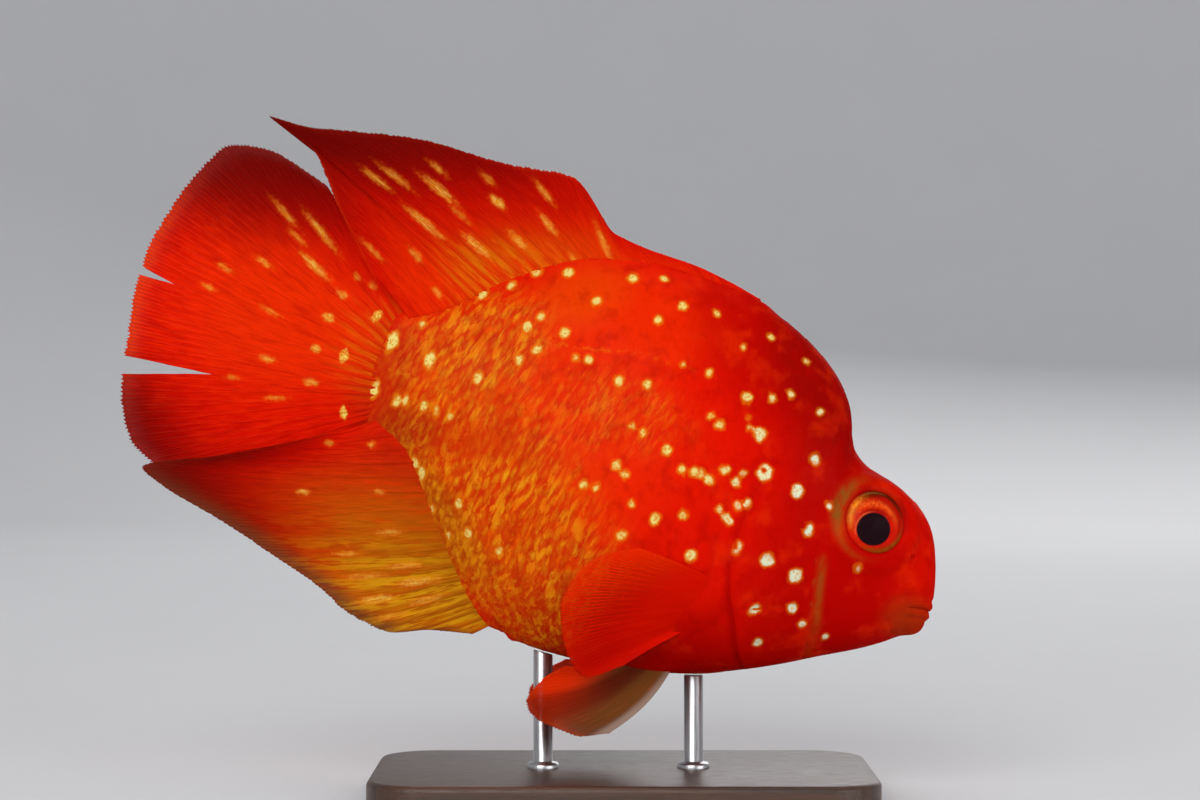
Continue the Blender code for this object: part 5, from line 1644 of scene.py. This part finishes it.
class MakeStage(bpy.types.Operator):
    """Pale floor that curves up all round, soft lamps, and the camera of the picture"""

    bl_idname = "cichlid.stage"
    bl_label = "Stage"

    def execute(self, context):
        looks = context.scene.cichlid_stage
        self.floor(np.array(looks.floor))
        for name, (place, size, power) in LAMPS.items():
            self.lamp(name, place, size, power * looks.light)
        world = bpy.data.worlds.new("pale_room")
        world.use_nodes = True
        backdrop = world.node_tree.nodes["Background"]
        backdrop.inputs["Color"].default_value = ROOM_COLOUR
        backdrop.inputs["Strength"].default_value = ROOM_LIGHT * looks.light
        context.scene.world = world
        context.scene.view_settings.view_transform = "Standard"
        self.camera()
        return {"FINISHED"}

    def floor(self, colour):
        """A flat disc whose edge sweeps up into a wall."""
        pale = Surface("pale_floor", Specular_IOR_Level=0.2)
        tone = pale.noise(pale.place(), 60.0, 2.0) * 0.03 + 0.985
        shade = pale.mix(1.0, colour, pale.node("ShaderNodeCombineColor", values={0: tone, 1: tone, 2: tone}),
                         "MULTIPLY")
        pale.set(Base_Color=shade, Roughness=pale.noise(pale.place(), 8.0) * 0.1 + 0.7)
        sweep = [(FLOOR_RADIUS * k / 5, 0.0) for k in range(1, 6)]
        for t in np.linspace(0.1, math.pi / 2, 16):
            sweep.append((FLOOR_RADIUS + FLOOR_CURVE * math.sin(t), FLOOR_CURVE * (1 - math.cos(t))))
        sweep.append((FLOOR_RADIUS + FLOOR_CURVE, WALL_TOP))
        points = [(0.0, 0.0, 0.0)]
        for radius, height in sweep:
            for k in range(FLOOR_SIDES):
                turned = 2 * math.pi * k / FLOOR_SIDES
                points.append((radius * math.cos(turned), radius * math.sin(turned), height))
        faces = [(0, 1 + k, 1 + (k + 1) % FLOOR_SIDES) for k in range(FLOOR_SIDES)]
        for ring in range(len(sweep) - 1):
            here = 1 + ring * FLOOR_SIDES
            above = here + FLOOR_SIDES
            for k in range(FLOOR_SIDES):
                following = (k + 1) % FLOOR_SIDES
                faces.append((here + k, above + k, above + following, here + following))
        mesh = bpy.data.meshes.new("pale_floor")
        mesh.from_pydata(points, [], faces)
        mesh.shade_smooth()
        mesh.materials.append(pale.material)
        floor = bpy.data.objects.new("pale_floor", mesh)
        bpy.context.scene.collection.objects.link(floor)

    def lamp(self, name, place, size, power):
        lamp = bpy.data.lights.new(name, "AREA")
        lamp.size = size
        lamp.energy = power
        holder = bpy.data.objects.new(name, lamp)
        holder.location = place
        holder.rotation_euler = (Vector(LAMPS_AIM) - Vector(place)).to_track_quat("-Z", "Y").to_euler()
        bpy.context.scene.collection.objects.link(holder)

    def camera(self):
        camera = bpy.data.cameras.new("picture_camera")
        camera.sensor_width = 36.0
        camera.lens = camera.sensor_width * -CAMERA_AT[1] * PICTURE_SCALE / PICTURE_SIZE[0]
        camera.clip_start = 0.01
        holder = bpy.data.objects.new("picture_camera", camera)
        holder.location = Vector(CAMERA_AT) * MM
        holder.rotation_euler = (math.pi / 2, 0.0, 0.0)
        bpy.context.scene.collection.objects.link(holder)
        bpy.context.scene.camera = holder


OPERATORS = (MakeSkin, MakeScales, MakeEyes, MakeMiddleFins, MakePairedFins, MakeStand, MakeStage)
GROUPS = {"cichlid_colours": FleshColours, "cichlid_eyes": EyeColours, "cichlid_sizes": FishSizes,
          "cichlid_stand": StandLooks, "cichlid_stage": StageLooks}


class CichlidPanel(bpy.types.Panel):
    """Colours, sizes and makers of the fish"""

    bl_idname = "VIEW3D_PT_cichlid"
    bl_label = "Blood Parrot Cichlid"
    bl_space_type = "VIEW_3D"
    bl_region_type = "UI"
    bl_category = "Cichlid"

    def draw(self, context):
        for group, kind in GROUPS.items():
            box = self.layout.box()
            for name in kind.__annotations__:
                box.prop(getattr(context.scene, group), name)
        for operator in OPERATORS:
            self.layout.operator(operator.bl_idname)


def register():
    for kind in (*GROUPS.values(), *OPERATORS, CichlidPanel):
        bpy.utils.register_class(kind)
    for name, kind in GROUPS.items():
        setattr(bpy.types.Scene, name, PointerProperty(type=kind))


def unregister():
    for name in GROUPS:
        delattr(bpy.types.Scene, name)
    for kind in reversed((*GROUPS.values(), *OPERATORS, CichlidPanel)):
        bpy.utils.unregister_class(kind)


def main():
    register()
    bpy.ops.cichlid.skin()
    bpy.ops.cichlid.scales()
    bpy.ops.cichlid.eyes()
    bpy.ops.cichlid.middle_fins()
    bpy.ops.cichlid.paired_fins()
    bpy.ops.cichlid.stand()
    bpy.ops.cichlid.stage()


if __name__ == "__main__":
    main()
